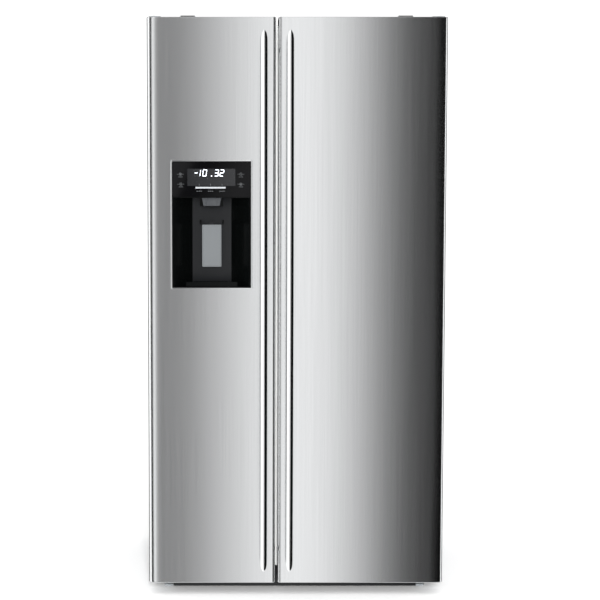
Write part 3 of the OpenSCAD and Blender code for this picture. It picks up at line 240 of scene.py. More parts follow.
# %% Rubber, foam, board and the lit figures
gasket_grey = moulded("grey gasket vinyl", "9b9ea0", 0.55, 0.003, 0.00002)
black_rubber = moulded("black rubber", "1b1b1c", 0.7, 0.001, 0.00005)
foam_yellow = moulded("polyurethane foam", "d9c88f", 0.85, 0.0012, 0.0004, 0.2)
cover_board = moulded("ventilated cover board", "8f8a80", 0.8, 0.0025, 0.00012, 0.2)

lit_white, tree, shader = material(
    "lit display figures", Base_Color=colour("f2f7ff"), Emission_Color=colour("e8f2ff")
)
glow = noise(tree, place(tree), 0.004, 1)
tree.links.new(between(tree, glow, 1.6, 2.2), shader.inputs["Emission Strength"])
print("materials so far:", len(bpy.data.materials))

# %% [markdown]
# ## Which piece is made of what
# Each CAD piece takes one of the finishes above. The table is keyed by the record's slot names.

# %% Finishes of the CAD pieces
finishes = {
    "brushed_stainless": (brushed_steel, ["freezer_door_skin", "fridge_door_skin"]),
    "handle_steel": (polished_steel, ["freezer_handle", "fridge_handle", "dispenser_bezel"]),
    "case_paint": (case_paint, ["outer_case"]),
    "zinc_sheet": (
        zinc,
        ["back_panel", "base_frame", "top_hinges", "bottom_hinges", "left_foot", "right_foot"],
    ),
    "flange_paint": (flange_paint, ["front_frame"]),
    "foam": (foam_yellow, ["foam_core", "freezer_door_foam", "fridge_door_foam"]),
    "liner_white": (
        liner_white,
        [
            "freezer_liner", "fridge_liner", "freezer_door_liner", "fridge_door_liner",
            "evaporator_cover", "air_tower",
        ],
    ),
    "compressor_black": (black_paint, ["compressor", "condenser"]),
    "coil_aluminium": (aluminium, ["evaporator", "ice_maker", "ice_auger"]),
    "black_plastic": (
        black_plastic,
        [
            "base_grille", "hinge_covers", "fan_shroud", "condenser_fan", "power_inlet",
            "evaporator_fan", "freezer_door_caps", "fridge_door_caps",
        ],
    ),
    "cover_board": (cover_board, ["machine_cover"]),
    "white_plastic": (
        white_plastic,
        ["water_filter", "air_damper", "shelf_frames", "water_fittings", "duct_flap"],
    ),
    "wire_white": (wire_coat, ["freezer_shelves"]),
    "clear_plastic": (
        clear_plastic,
        [
            "crisper_upper", "crisper_lower", "ice_bucket", "freezer_basket", "freezer_door_bins",
            "fridge_door_bins", "dairy_lid",
        ],
    ),
    "shelf_glass": (shelf_glass, ["shelf_glass"]),
    "black_rubber": (black_rubber, ["left_roller", "right_roller"]),
    "gasket_grey": (gasket_grey, ["freezer_door_gasket", "fridge_door_gasket"]),
    "gloss_black": (gloss_black, ["control_panel"]),
    "recess_black": (recess_black, ["dispenser_recess", "drip_tray"]),
    "grey_plastic": (recess_black, ["dispenser_chute", "dispenser_paddle"]),
    "display_lit": (lit_white, ["display_digits"]),
}
unpainted = set(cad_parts)
for slot, (finish, names) in finishes.items():
    for name in names:
        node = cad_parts[name]
        node.data.materials.clear()
        node.data.materials.append(finish)
        unpainted.discard(name)
print("pieces without a finish:", sorted(unpainted))

# %% [markdown]
# ## Tools for meshes
# A remade piece is a mesh in metres, in the CAD model's own place. Smooth shading with sharp edges
# past 30 degrees shows a soft edge as soft and a fold as a fold. Each piece rides on a CAD body,
# so it moves with the joints.

# %% Mesh helpers
def smooth(mesh, angle=30):
    """Smooth shading that stops at folds sharper than the angle."""
    mesh.polygons.foreach_set("use_smooth", [True] * len(mesh.polygons))
    mesh.set_sharp_from_angle(angle=math.radians(angle))
    mesh.update()


def piece(name, mesh, body, finish, stands_for=()):
    """Puts a mesh into the scene as a named piece that rides on a CAD body."""
    made = bpy.data.objects.new(name, mesh)
    bpy.context.scene.collection.objects.link(made)
    mesh.materials.clear()
    mesh.materials.append(finish)
    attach(made, body)
    if stands_for:
        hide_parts(*stands_for)
    return made


def mesh_from(name, points, faces, angle=30):
    """A mesh from points and faces, with its faces turned outward."""
    mesh = bpy.data.meshes.new(name)
    mesh.from_pydata(points, [], faces)
    work = bmesh.new()
    work.from_mesh(mesh)
    bmesh.ops.remove_doubles(work, verts=work.verts, dist=1e-6)
    bmesh.ops.recalc_face_normals(work, faces=work.faces)
    work.to_mesh(mesh)
    work.free()
    smooth(mesh, angle)
    return mesh


def baked(holder, name, angle=30):
    """The plain mesh that an object has once its modifiers have run."""
    bpy.context.view_layer.update()
    seen = holder.evaluated_get(bpy.context.evaluated_depsgraph_get())
    mesh = bpy.data.meshes.new_from_object(seen)
    mesh.name = name
    smooth(mesh, angle)
    bpy.data.objects.remove(holder)
    return mesh


def with_modifiers(mesh, steps, angle=30):
    """Runs a list of (kind, settings) modifiers on a mesh and returns the result."""
    holder = bpy.data.objects.new("holder", mesh)
    bpy.context.scene.collection.objects.link(holder)
    for kind, settings in steps:
        modifier = holder.modifiers.new(kind, kind)
        for key, value in settings.items():
            setattr(modifier, key, value)
    return baked(holder, mesh.name, angle)


def softened(mesh, width, limit="ANGLE", angle=60):
    """Rounds the edges of a mesh: all of them, or with the ANGLE limit only the sharp ones."""
    bevel = {"width": width, "segments": 3, "limit_method": limit}
    if limit == "ANGLE":
        bevel["angle_limit"] = 1.0
    return with_modifiers(mesh, [("BEVEL", bevel)], angle)


def soft_box(name, low, high, radius):
    """A box between two corners with rounded edges."""
    points = list(itertools.product(*zip(low, high)))
    faces = [(0, 1, 3, 2), (4, 6, 7, 5), (0, 4, 5, 1), (2, 3, 7, 6), (0, 2, 6, 4), (1, 5, 7, 3)]
    return softened(mesh_from(name, points, faces), radius, "NONE", 50)


def joined(name, meshes, angle=30):
    """Several meshes as one."""
    work = bmesh.new()
    for mesh in meshes:
        work.from_mesh(mesh)
    result = bpy.data.meshes.new(name)
    work.to_mesh(result)
    work.free()
    smooth(result, angle)
    return result


# %% [markdown]
# ## Door skins
# Each skin is one folded sheet. In plan it comes forward from the hinge side, turns the outer
# corner in a curve that eases into the flat face over about 40 mm, crosses the face, and turns a
# tighter corner into the centre gap. Its top and bottom edges are rolled in by 3 mm, which gives
# the thin bright line at each end of a real door. The easing matters more than the corner's
# radius: it is what lets a reflection fade in from the edge.

# %% Fold both door skins
def bezier(a, b, c, d, count):
    """Points along a cubic curve, without its last point."""
    found = []
    for step in range(count):
        t = step / count
        weights = ((1 - t) ** 3, 3 * t * (1 - t) ** 2, 3 * t * t * (1 - t), t**3)
        found.append(sum((w * Vector(p) for w, p in zip(weights, (a, b, c, d))), Vector((0, 0))))
    return found


sheet_t = 0.9 * mm
ease_reach, ease_depth = 42 * mm, 20 * mm
tight_corner = 12 * mm
edge_roll, roll_steps = 3 * mm, 5
# A narrow row of faces beside each bend keeps the shading of the flat next to it flat
guard = 2 * mm


def door_plan(width, depth, stops):
    """The sheet's line seen from above, from the outer side round to the side at the gap."""
    turn = width - tight_corner
    start = [(0, depth), (0, ease_depth + guard)]
    outer = bezier((0, ease_depth), (0, 1.5 * mm), (5 * mm, 0), (ease_reach, 0), 26)
    flat = [(x, 0) for x in sorted([ease_reach, ease_reach + guard, *stops, turn - guard])]
    inner = bezier((turn, 0), (width - 2.5 * mm, 0), (width, 2.5 * mm), (width, tight_corner), 14)
    end = [(width, tight_corner), (width, tight_corner + guard), (width, depth)]
    return [Vector(point) for point in (*start, *outer, *flat, *inner, *end)]


def sheet_rows(low_z, high_z, stops):
    """Pairs of height and inset up the sheet, which is rolled in at both ends."""
    turns = [math.radians(90 * k / roll_steps) for k in range(roll_steps + 1)]
    rolled = [(edge_roll * (1 - math.sin(a)), edge_roll * (1 - math.cos(a))) for a in turns]
    rows = [(low_z + rise, inset) for rise, inset in reversed(rolled)]
    rows += [(z, 0) for z in (low_z + edge_roll + mm, *stops, high_z - edge_roll - mm)]
    return rows + [(high_z - rise, inset) for rise, inset in rolled]


def folded_skin(name, node, mirrored, hole=None):
    """The sheet round one door. hole is the (x0, x1, z0, z1) of an opening in the face."""
    low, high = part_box(node)
    edge = high.x if mirrored else low.x
    plan = door_plan(
        high.x - low.x, high.y - low.y, [abs(x - edge) for x in hole[:2]] if hole else []
    )
    rows = sheet_rows(low.z, high.z, hole[2:] if hole else [])
    outward = []
    for i in range(len(plan)):
        run = (plan[min(i + 1, len(plan) - 1)] - plan[max(i - 1, 0)]).normalized()
        outward.append(Vector((run.y, -run.x)))
    points, faces = [], []
    for z, inset in rows:
        for spot, normal in zip(plan, outward):
            flat = spot - normal * inset
            x = edge - flat.x if mirrored else edge + flat.x
            points.append((x, low.y + flat.y, z))
    count = len(plan)
    for row, column in itertools.product(range(len(rows) - 1), range(count - 1)):
        start = row * count + column
        corners = [start, start + 1, start + count + 1, start + count]
        middle = sum((Vector(points[k]) for k in corners), Vector()) / 4
        if hole and hole[0] < middle.x < hole[1] and hole[2] < middle.z < hole[3]:
            if middle.y < low.y + mm:
                continue
        faces.append(corners[::-1] if mirrored else corners)
    mesh = bpy.data.meshes.new(name)
    mesh.from_pydata(points, [], faces)
    mesh.update()
    front = max(mesh.polygons, key=lambda f: f.area)
    if front.normal.y > 0:
        mesh.flip_normals()
    sheet = {"thickness": sheet_t, "offset": -1, "use_even_offset": True}
    return with_modifiers(mesh, [("SOLIDIFY", sheet)], 40)


bezel_low, bezel_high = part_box("dispenser_bezel")
rim_lap = 2.5 * mm
opening = (
    bezel_low.x + rim_lap, bezel_high.x - rim_lap, bezel_low.z + rim_lap, bezel_high.z - rim_lap
)
for side, mirrored, hole in (("freezer", False, opening), ("fridge", True, None)):
    name, node = f"{side}_door_folded_skin", f"{side}_door_skin"
    mesh = folded_skin(name, node, mirrored, hole)
    piece(name, mesh, f"{side}_door", brushed_steel, [node])
    print(side, "skin:", len(mesh.polygons), "faces")

# %% [markdown]
# ## Geometry Nodes
# A node tree is used where a shape follows a rule or repeats. The tree is built here in code, it
# takes named inputs, and its result is read back as a plain mesh.

# %% Geometry Nodes helpers
def node_group(name, inputs):
    """A geometry node tree with named inputs, and its group input node."""
    tree = bpy.data.node_groups.new(name, "GeometryNodeTree")
    tree.interface.new_socket("Geometry", in_out="INPUT", socket_type="NodeSocketGeometry")
    for label, kind, value in inputs:
        socket = tree.interface.new_socket(label, in_out="INPUT", socket_type=f"NodeSocket{kind}")
        if value is not None:
            socket.default_value = value
    tree.interface.new_socket("Geometry", in_out="OUTPUT", socket_type="NodeSocketGeometry")
    return tree, add(tree, "NodeGroupInput")


def end_group(tree, geometry, finish):
    """Closes a tree: real geometry, with its material set."""
    real = add(tree, "GeometryNodeRealizeInstances", Geometry=geometry)
    coated = add(tree, "GeometryNodeSetMaterial", Geometry=real.outputs[0], Material=finish)
    add(tree, "NodeGroupOutput", Geometry=coated.outputs[0])


def calc(tree, operation, a, b=0.0):
    """One step of arithmetic on values."""
    return add(tree, "ShaderNodeMath", {"operation": operation}, n0=a, n1=b).outputs[0]


def times(tree, a, b):
    """The product of two values."""
    return calc(tree, "MULTIPLY", a, b)


def xyz(tree, **parts):
    """A vector from the parts X, Y and Z. A part that isn't given is 0."""
    return add(tree, "ShaderNodeCombineXYZ", **parts).outputs[0]


def position(tree):
    """The x, y and z of each point of a shape."""
    spot = add(tree, "GeometryNodeInputPosition")
    return add(tree, "ShaderNodeSeparateXYZ", Vector=spot.outputs[0]).outputs


def grown(name, tree, base=None, angle=30, **values):
    """Runs a tree on a base mesh and returns the plain mesh that it makes."""
    holder = bpy.data.objects.new("holder", base or bpy.data.meshes.new(name))
    bpy.context.scene.collection.objects.link(holder)
    modifier = holder.modifiers.new("nodes", "NODES")
    modifier.node_group = tree
    for item in tree.interface.items_tree:
        if item.in_out == "INPUT" and item.name.replace(" ", "_") in values:
            modifier[item.identifier] = values[item.name.replace(" ", "_")]
    return baked(holder, name, angle)


# %% [markdown]
# ## Bar handles
# Each handle is one bar bent into a very shallow arc and tapered at both ends, on two posts. Its
# section has a soft ridge in front, with the left face the steeper one, and is flat behind. The
# ridge is what draws a thin bright line down the bar. The tree draws the arc from its length and
# bow, narrows it near the ends, and sweeps the section along it.

# %% Sweep the bar handles
handle_tree, given = node_group(
    "bar handle",
    [
        ("Length", "Float", 1.64),
        ("Bow", "Float", 0.02),
        ("Width", "Float", 0.02),
        ("Depth", "Float", 0.015),
        ("Taper", "Float", 0.03),
        ("Ridge", "Float", 0.66),
        ("Lean", "Float", -0.17),
        ("Post Spacing", "Float", 1.54),
        ("Post Reach", "Float", 0.04),
        ("Place", "Vector", (0, 0, 0)),
        ("Finish", "Material", None),
    ],
)
g = given.outputs
t = handle_tree
# The section's numbers are shares of half the bar's width or depth
bar_steps, section_steps = 260, 72
end_slimming = 0.93
ridge_at, ridge_blunt, ridge_peak = -0.02, 0.008, 1.05
back_depth, squareness = 0.7, 0.14
post_radius_share = 0.34

# The line of the bar, bent back at both ends
half = times(t, g["Length"], 0.5)
ends = {"Start": xyz(t, Z=times(t, half, -1.0)), "End": xyz(t, Z=half)}
line = add(t, "GeometryNodeCurvePrimitiveLine", **ends)
fine = add(t, "GeometryNodeResampleCurve", Curve=line.outputs[0], Count=bar_steps)
height = position(t)[2]
share = calc(t, "DIVIDE", height, half)
sag = times(t, times(t, share, share), g["Bow"])
bent = add(
    t,
    "GeometryNodeSetPosition",
    Geometry=fine.outputs[0],
    Offset=xyz(t, Y=sag),
)

# How thick the bar is at each height: full, and round at its ends
from_end = calc(t, "SUBTRACT", half, calc(t, "ABSOLUTE", height))
near = calc(t, "SUBTRACT", 1.0, calc(t, "MINIMUM", calc(t, "DIVIDE", from_end, g["Taper"]), 1.0))
slimmer = times(t, times(t, near, near), end_slimming)
thin = calc(t, "SQRT", calc(t, "SUBTRACT", 1.0, slimmer))

# The section, with its soft ridge in front and its flat back
ring = add(t, "GeometryNodeCurvePrimitiveCircle", Resolution=section_steps, Radius=1.0)
across, back = position(t)[:2]
from_ridge = calc(t, "SUBTRACT", across, ridge_at)
ridge_square = times(t, from_ridge, from_ridge)
distance = calc(t, "SQRT", calc(t, "ADD", ridge_square, ridge_blunt))
lean = times(t, from_ridge, g["Lean"])
fall = calc(t, "SUBTRACT", times(t, distance, g["Ridge"]), lean)
slope = calc(t, "SUBTRACT", ridge_peak, fall)
is_back = calc(t, "GREATER_THAN", back, 0.0)
to_back_depth = calc(t, "SUBTRACT", back_depth, slope)
deep = calc(t, "ADD", times(t, is_back, to_back_depth), slope)
full = calc(t, "POWER", calc(t, "ABSOLUTE", back), squareness)
turn = calc(t, "SUBTRACT", 1.0, times(t, is_back, 2.0))
profile_x = times(t, across, times(t, g["Width"], 0.5))
outline = times(t, times(t, full, turn), deep)
profile_y = times(t, outline, times(t, g["Depth"], 0.5))
profile = add(
    t,
    "GeometryNodeSetPosition",
    Geometry=ring.outputs[0],
    Position=xyz(t, X=profile_x, Y=profile_y),
)
bar = add(
    t,
    "GeometryNodeCurveToMesh",
    Curve=bent.outputs[0],
    Profile_Curve=profile.outputs[0],
    Scale=thin,
    Fill_Caps=True,
)

# Two posts, which start at the bent bar and end at the door
post_share = calc(t, "DIVIDE", g["Post Spacing"], g["Length"])
post_sag = times(t, times(t, post_share, post_share), g["Bow"])
post = add(
    t,
    "GeometryNodeMeshCylinder",
    Vertices=32,
    Radius=times(t, g["Width"], post_radius_share),
    Depth=calc(t, "SUBTRACT", g["Post Reach"], post_sag),
)
rise = times(t, g["Post Spacing"], 0.5)
stand = add(t, "GeometryNodeMeshLine", {"mode": "END_POINTS"})
for socket, way in (("Start Location", -1.0), ("Offset", 1.0)):
    middle_y = times(t, calc(t, "ADD", g["Post Reach"], post_sag), 0.5)
    t.links.new(xyz(t, Y=middle_y, Z=times(t, rise, way)), stand.inputs[socket])
stand.inputs["Count"].default_value = 2
posts = add(
    t,
    "GeometryNodeInstanceOnPoints",
    Points=stand.outputs[0],
    Instance=post.outputs[0],
    Rotation=(math.pi / 2, 0, 0),
)
both = add(t, "GeometryNodeJoinGeometry")
for part in (bar, posts):
    t.links.new(part.outputs[0], both.inputs[0])
moved = add(t, "GeometryNodeTransform", Geometry=both.outputs[0], Translation=g["Place"])
end_group(t, moved.outputs[0], g["Finish"])

bar_flatness = 0.75
for side in ("freezer", "fridge"):
    name, node = f"{side}_bar_handle", f"{side}_handle"
    low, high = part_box(node)
    width = high.x - low.x
    depth = width * bar_flatness
    skin_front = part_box(f"{side}_door_skin")[0].y
    mesh = grown(
        name,
        handle_tree,
        Length=high.z - low.z,
        Width=width,
        Depth=depth,
        Post_Reach=skin_front - low.y - depth / 2,
        Place=((low.x + high.x) / 2, low.y + depth / 2, (low.z + high.z) / 2),
        Finish=polished_steel,
    )
    piece(name, mesh, f"{side}_door", polished_steel, [node])
    print(side, "handle:", len(mesh.polygons), "faces,", round(high.z - low.z, 3), "m long")

# %% [markdown]
# ## Screws
# Pan head screws hold the back panel, the machine cover, the toe grille and the hinge covers. One
# head is drawn once: a low dome with a cross cut into it. A tree sets it on every point of a
# list, all facing the same way, so one rule makes every screw.

# %% Screw heads from one rule
screw_tree, given = node_group(
    "screw heads",
    [
        ("Head Radius", "Float", 0.0042),
        ("Head Height", "Float", 0.0016),
        ("Facing", "Vector", (0, 0, 0)),
        ("Finish", "Material", None),
    ],
)
g = given.outputs
t = screw_tree
dome = add(t, "GeometryNodeMeshUVSphere", Segments=28, Rings=14, Radius=1.0)
squash = xyz(t, X=g["Head Radius"], Y=g["Head Radius"], Z=g["Head Height"])
head = add(t, "GeometryNodeTransform", Geometry=dome.outputs[0], Scale=squash)
# The arms of the cross, as shares of the head's radius, and its middle, as a share of its height
arm_w = times(t, g["Head Radius"], 0.26)
arm_l = times(t, g["Head Radius"], 1.15)
raised = xyz(t, Z=times(t, g["Head Height"], 0.95))
cross = add(t, "GeometryNodeMeshBoolean", {"operation": "UNION"})
for length, width in ((arm_l, arm_w), (arm_w, arm_l)):
    block = add(t, "GeometryNodeMeshCube", Size=xyz(t, X=length, Y=width, Z=g["Head Height"]))
    arm = add(t, "GeometryNodeTransform", Geometry=block.outputs[0], Translation=raised)
    t.links.new(arm.outputs[0], cross.inputs[1])
slotted = add(t, "GeometryNodeMeshBoolean", {"operation": "DIFFERENCE"})
t.links.new(head.outputs[0], slotted.inputs[0])
t.links.new(cross.outputs[0], slotted.inputs[1])
turned = add(t, "FunctionNodeEulerToRotation", Euler=g["Facing"])
set_out = add(
    t,
    "GeometryNodeInstanceOnPoints",
    Points=g["Geometry"],
    Instance=slotted.outputs[0],
    Rotation=turned.outputs[0],
)
end_group(t, set_out.outputs[0], g["Finish"])


def spread(start, end, spacing):
    """Even places from start to end, about one spacing apart."""
    steps = max(1, round(abs(end - start) / spacing))
    return [start + (end - start) * k / steps for k in range(steps + 1)]


def border(x0, x1, z0, z1, y, spacing):
    """Points round an upright rectangle, with one in each corner."""
    rows = [(x, y, z) for x in spread(x0, x1, spacing) for z in (z0, z1)]
    return rows + [(x, y, z) for z in spread(z0, z1, spacing)[1:-1] for x in (x0, x1)]


def screws(name, places, facing):
    """Sets one screw head of the cabinet on each place."""
    base = bpy.data.meshes.new(name + "_places")
    base.from_pydata(places, [], [])
    mesh = grown(name, screw_tree, base, Facing=facing, Finish=screw_steel)
    piece(name, mesh, "cabinet", screw_steel)
    print(name, len(places), "heads")


to_back, to_front, upward = (-math.pi / 2, 0, 0), (math.pi / 2, 0, 0), (0, 0, 0)
# How far screws stand in from the sides, the bottom and the top, and about how far apart
for name, node, side_in, low_in, top_in, spacing in (
    ("back_panel_screws", "back_panel", 9 * mm, 30 * mm, 9 * mm, 210 * mm),
    ("machine_cover_screws", "machine_cover", 8 * mm, 10 * mm, 8 * mm, 150 * mm),
):
    low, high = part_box(node)
    edges = (low.x + side_in, high.x - side_in, low.z + low_in, high.z - top_in)
    screws(name, border(*edges, high.y, spacing), to_back)
low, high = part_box("base_grille")
grille_in = 9 * mm
grille_xs = (low.x + grille_in, high.x - grille_in)
screws("grille_screws", [(x, low.y, (low.z + high.z) / 2) for x in grille_xs], to_front)
low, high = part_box("hinge_covers")
deck = high.z - 2 * mm
cover_xs = (30 * mm - high.x, high.x - 30 * mm)
cover_ys = (high.y - 20 * mm, high.y - 75 * mm)
screws("hinge_cover_screws", [(x, y, deck) for x in cover_xs for y in cover_ys], upward)

# %% [markdown]
# ## Lamps
# A ribbed white lens sits in the ceiling of each compartment, just behind the door. It is lit while
# a door is open, and its ribs spread the light. Each lens is a round-edged plate under a row of
# half round ribs, joined in one mesh.

# %% Ceiling lamps
lens_w, lens_d, lens_t = 100 * mm, 34 * mm, 6 * mm
rib_count, rib_w, rib_in = 9, 3.2 * mm, 3 * mm
set_back, liner_t = 75 * mm, 2 * mm
for side in ("freezer", "fridge"):
    low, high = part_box(f"{side}_liner")
    ceiling, front = high.z - liner_t, low.y + set_back
    left = (low.x + high.x) / 2 - lens_w / 2
    lens_low = (left, front, ceiling - lens_t)
    lens_high = (left + lens_w, front + lens_d, ceiling)
    lens_parts = [soft_box("lens", lens_low, lens_high, 2 * mm)]
    for k in range(rib_count):
        x = left + (k + 1) * lens_w / (rib_count + 1)
        rib_low = (x - rib_w / 2, front + rib_in, ceiling - lens_t - 2 * mm)
        rib_high = (x + rib_w / 2, front + lens_d - rib_in, ceiling - lens_t + mm)
        lens_parts.append(soft_box("rib", rib_low, rib_high, 1.2 * mm))
    name = f"{side}_lamp_lens"
    lens = joined(name, lens_parts, 50)
    piece(name, lens, "cabinet", white_plastic)
    print(side, "lamp:", len(lens.polygons), "faces")

# %% [markdown]
# ## Dispenser
# A bright rim frames the dispenser. Above sits a gloss black fascia with a display window, touch
# icons and a row of marks, all printed behind or on the fascia. Below is the recess: gloss black
# cheeks, a satin charcoal back panel, the nozzle, and the pad that a glass pushes. The marks are
# plain shapes with no lettering. The figures are seven bar segments each, the way a display
# shows them, and the dark segments stay faintly visible.

# %% Rim, fascia and window
def round_loop(x0, x1, z0, z1, radius, steps=8):
    """The outline of a rectangle with round corners, as (x, z) points."""
    loop = []
    for cx, cz, start in (
        (x1 - radius, z1 - radius, 0),
        (x0 + radius, z1 - radius, 90),
        (x0 + radius, z0 + radius, 180),
        (x1 - radius, z0 + radius, 270),
    ):
        for k in range(steps + 1):
            a = math.radians(start + 90 * k / steps)
            loop.append((cx + radius * math.cos(a), cz + radius * math.sin(a)))
    return loop


def ring_plate(name, outer, inner, y0, y1, edge):
    """A flat ring between two outlines, from y0 to y1, with softened edges."""
    count = len(outer)
    points = [(x, y, z) for loop in (outer, inner) for y in (y0, y1) for x, z in loop]
    faces = []
    for k in range(count):
        n = (k + 1) % count
        faces += [
            (k, n, count + n, count + k),
            (2 * count + k, 3 * count + k, 3 * count + n, 2 * count + n),
            (k, 2 * count + k, 2 * count + n, n),
            (count + k, count + n, 3 * count + n, 3 * count + k),
        ]
    return softened(mesh_from(name, points, faces, 50), edge)


def plate(name, loop, y0, y1, edge=0.0):
    """A flat plate of one outline, from y0 at the front to y1, with softened edges."""
    count = len(loop)
    points = [(x, y, z) for y in (y0, y1) for x, z in loop]
    faces = [tuple(range(count)), tuple(range(2 * count - 1, count - 1, -1))]
    faces += [(k, (k + 1) % count, count + (k + 1) % count, count + k) for k in range(count)]
    mesh = mesh_from(name, points, faces, 50)
    return softened(mesh, edge) if edge else mesh


def inset_loop(low, high, inset, radius):
    """The round-cornered outline that stays one inset inside a CAD box."""
    return round_loop(low.x + inset, high.x - inset, low.z + inset, high.z - inset, radius)


rim = 4.4 * mm
rim_out = inset_loop(bezel_low, bezel_high, 0, 6 * mm)
rim_in = inset_loop(bezel_low, bezel_high, rim, 2.5 * mm)
rim_mesh = ring_plate("dispenser_rim", rim_out, rim_in, bezel_low.y, bezel_high.y, 1.2 * mm)
bezel = ["dispenser_bezel"]
piece("dispenser_rim", rim_mesh, "freezer_door", polished_steel, bezel)

# A black ring inside the rim hides the foam behind it, and its black is also painted shadow along
# the inner edge of the rim
cover_and_shade_out = inset_loop(bezel_low, bezel_high, rim - 0.6 * mm, 2.5 * mm)
cover_and_shade_in = inset_loop(bezel_low, bezel_high, rim + 2 * mm, 1.5 * mm)
cover_and_shade_front = bezel_low.y + 1.6 * mm
cover_and_shade_mesh = ring_plate("dispenser_seal", cover_and_shade_out, cover_and_shade_in, cover_and_shade_front, bezel_high.y, 0.3 * mm)
piece("dispenser_seal", cover_and_shade_mesh, "freezer_door", recess_black)

panel_low, panel_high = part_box("control_panel")
face_y = panel_low.y
middle_x = (panel_low.x + panel_high.x) / 2
top_z = bezel_high.z - rim
side_gap = 0.3 * mm
fascia_loop = round_loop(
    panel_low.x + side_gap, panel_high.x - side_gap, panel_low.z, panel_high.z, 2 * mm
)
fascia = plate("gloss_fascia", fascia_loop, face_y, panel_high.y, 0.7 * mm)
piece("gloss_fascia", fascia, "freezer_door", gloss_black, ["control_panel"])
window_glass = moulded("smoked display window", "141517", 0.16, 0.01, 0.000002)
window_left, window_right = middle_x - 73 * mm, middle_x + 72 * mm
window_low, window_high = top_z - 74 * mm, top_z - 22.5 * mm
window_loop = round_loop(window_left, window_right, window_low, window_high, 1.5 * mm)
window = plate("display_window", window_loop, face_y - 0.05 * mm, face_y + 0.5 * mm)
piece("display_window", window, "freezer_door", window_glass)
print("fascia at y", round(face_y, 4), "its top at z", round(top_z, 4))

# %% [markdown]
# The figures lean forward by about a tenth, as on most displays. One segment is a bar with
# pointed ends. The same bar, turned and moved, makes all seven.

# %% Figures on the display
def segment(x, z, upright, length, thick, lean):
    """The corners of one bar segment with pointed ends, leaning forward."""
    h, t = length / 2, thick / 2
    bar = [(-h, 0), (-h + t, -t), (h - t, -t), (h, 0), (h - t, t), (-h + t, t)]
    placed = [(x - b, z + a) if upright else (x + a, z + b) for a, b in bar]
    return [(px + lean * pz, pz) for px, pz in placed]


# The middle of each segment, as shares of the figure's width and height, and which stand upright
SEGMENT_PLACES = [
    (0.5, 1.0, False), (1.0, 0.75, True), (1.0, 0.25, True), (0.5, 0.0, False),
    (0.0, 0.25, True), (0.0, 0.75, True), (0.5, 0.5, False),
]
LIT = {"1": "0110000", "0": "1111110", "3": "1111001", "2": "1101101", "-": "0000001"}


def bars(name, shapes, y0, y1):
    """Flat bars from their corners, all in one mesh."""
    points, faces = [], []
    for corners in shapes:
        first, count = len(points), len(corners)
        points += [(x, y, z) for y in (y0, y1) for x, z in corners]
        front = list(range(first, first + count))
        rear = [k + count for k in front]
        faces += [front, rear[::-1]]
        for k in range(count):
            n = (k + 1) % count
            faces.append((front[k], front[n], rear[n], rear[k]))
    return mesh_from(name, points, faces)


figure_w, figure_h, bar_t, bar_gap = 10.5 * mm, 19 * mm, 1.7 * mm, 0.6 * mm
figure_lean = 0.13
figure_z = top_z - 44.5 * mm
printed_t, lit_t = 0.1 * mm, 0.12 * mm
lit_bars, dark_bars = [], []
# Each figure and where it starts, in millimetres right of the middle
for start, figure in ((-53, "-"), (-45.5, "1"), (-27, "0"), (9, "3"), (25, "2")):
    for (x, z, upright), on in zip(SEGMENT_PLACES, LIT[figure]):
        length = (figure_h / 2 if upright else figure_w) - bar_gap
        corners = segment(x * figure_w, z * figure_h, upright, length, bar_t, figure_lean)
        shape = [(middle_x + start * mm + px, figure_z + pz) for px, pz in corners]
        (lit_bars if on == "1" else dark_bars).append(shape)
dot_half = 1.5 * mm
lit_bars.append(
    round_loop(middle_x - dot_half, middle_x + dot_half, figure_z - mm, figure_z + 2 * mm, mm, 3)
)
lit_mesh = bars("display_figures", lit_bars, face_y - lit_t, face_y)
piece("display_figures", lit_mesh, "freezer_door", lit_white, ["display_digits"])
unlit = moulded("unlit display segments", "202122", 0.3, 0.002, 0.000002)
dark_mesh = bars("display_unlit_segments", dark_bars, face_y - printed_t, face_y)
piece("display_unlit_segments", dark_mesh, "freezer_door", unlit)
print("segments lit and dark:", len(lit_bars), len(dark_bars))

# %% [markdown]
# The touch icons and marks are thin prints. Each icon is a small ring with a mark in it and a
# short dash to each side. Four different marks keep the icons apart without any lettering.

# %% Printed icons and marks
def oblong(cx, cz, width, height):
    """The corners of an upright rectangle round a middle."""
    w, h = width / 2, height / 2
    return [(cx - w, cz - h), (cx + w, cz - h), (cx + w, cz + h), (cx - w, cz + h)]


def spoke(cx, cz, angle, inner, outer, width):
    """The corners of a thin bar that points away from a middle."""
    a = math.radians(angle)
    along, aside = Vector((math.cos(a), math.sin(a))), Vector((-math.sin(a), math.cos(a)))
    corners = [(inner, -1), (outer, -1), (outer, 1), (inner, 1)]
    return [tuple(Vector((cx, cz)) + along * r + aside * s * width / 2) for r, s in corners]


def circle(cx, cz, radius, sides):
    """Points round a small circle."""
    turns = [2 * math.pi * k / sides for k in range(sides)]
    return [(cx + radius * math.cos(a), cz + radius * math.sin(a)) for a in turns]


ring_sides, line_t = 16, 0.8 * mm
prints = []
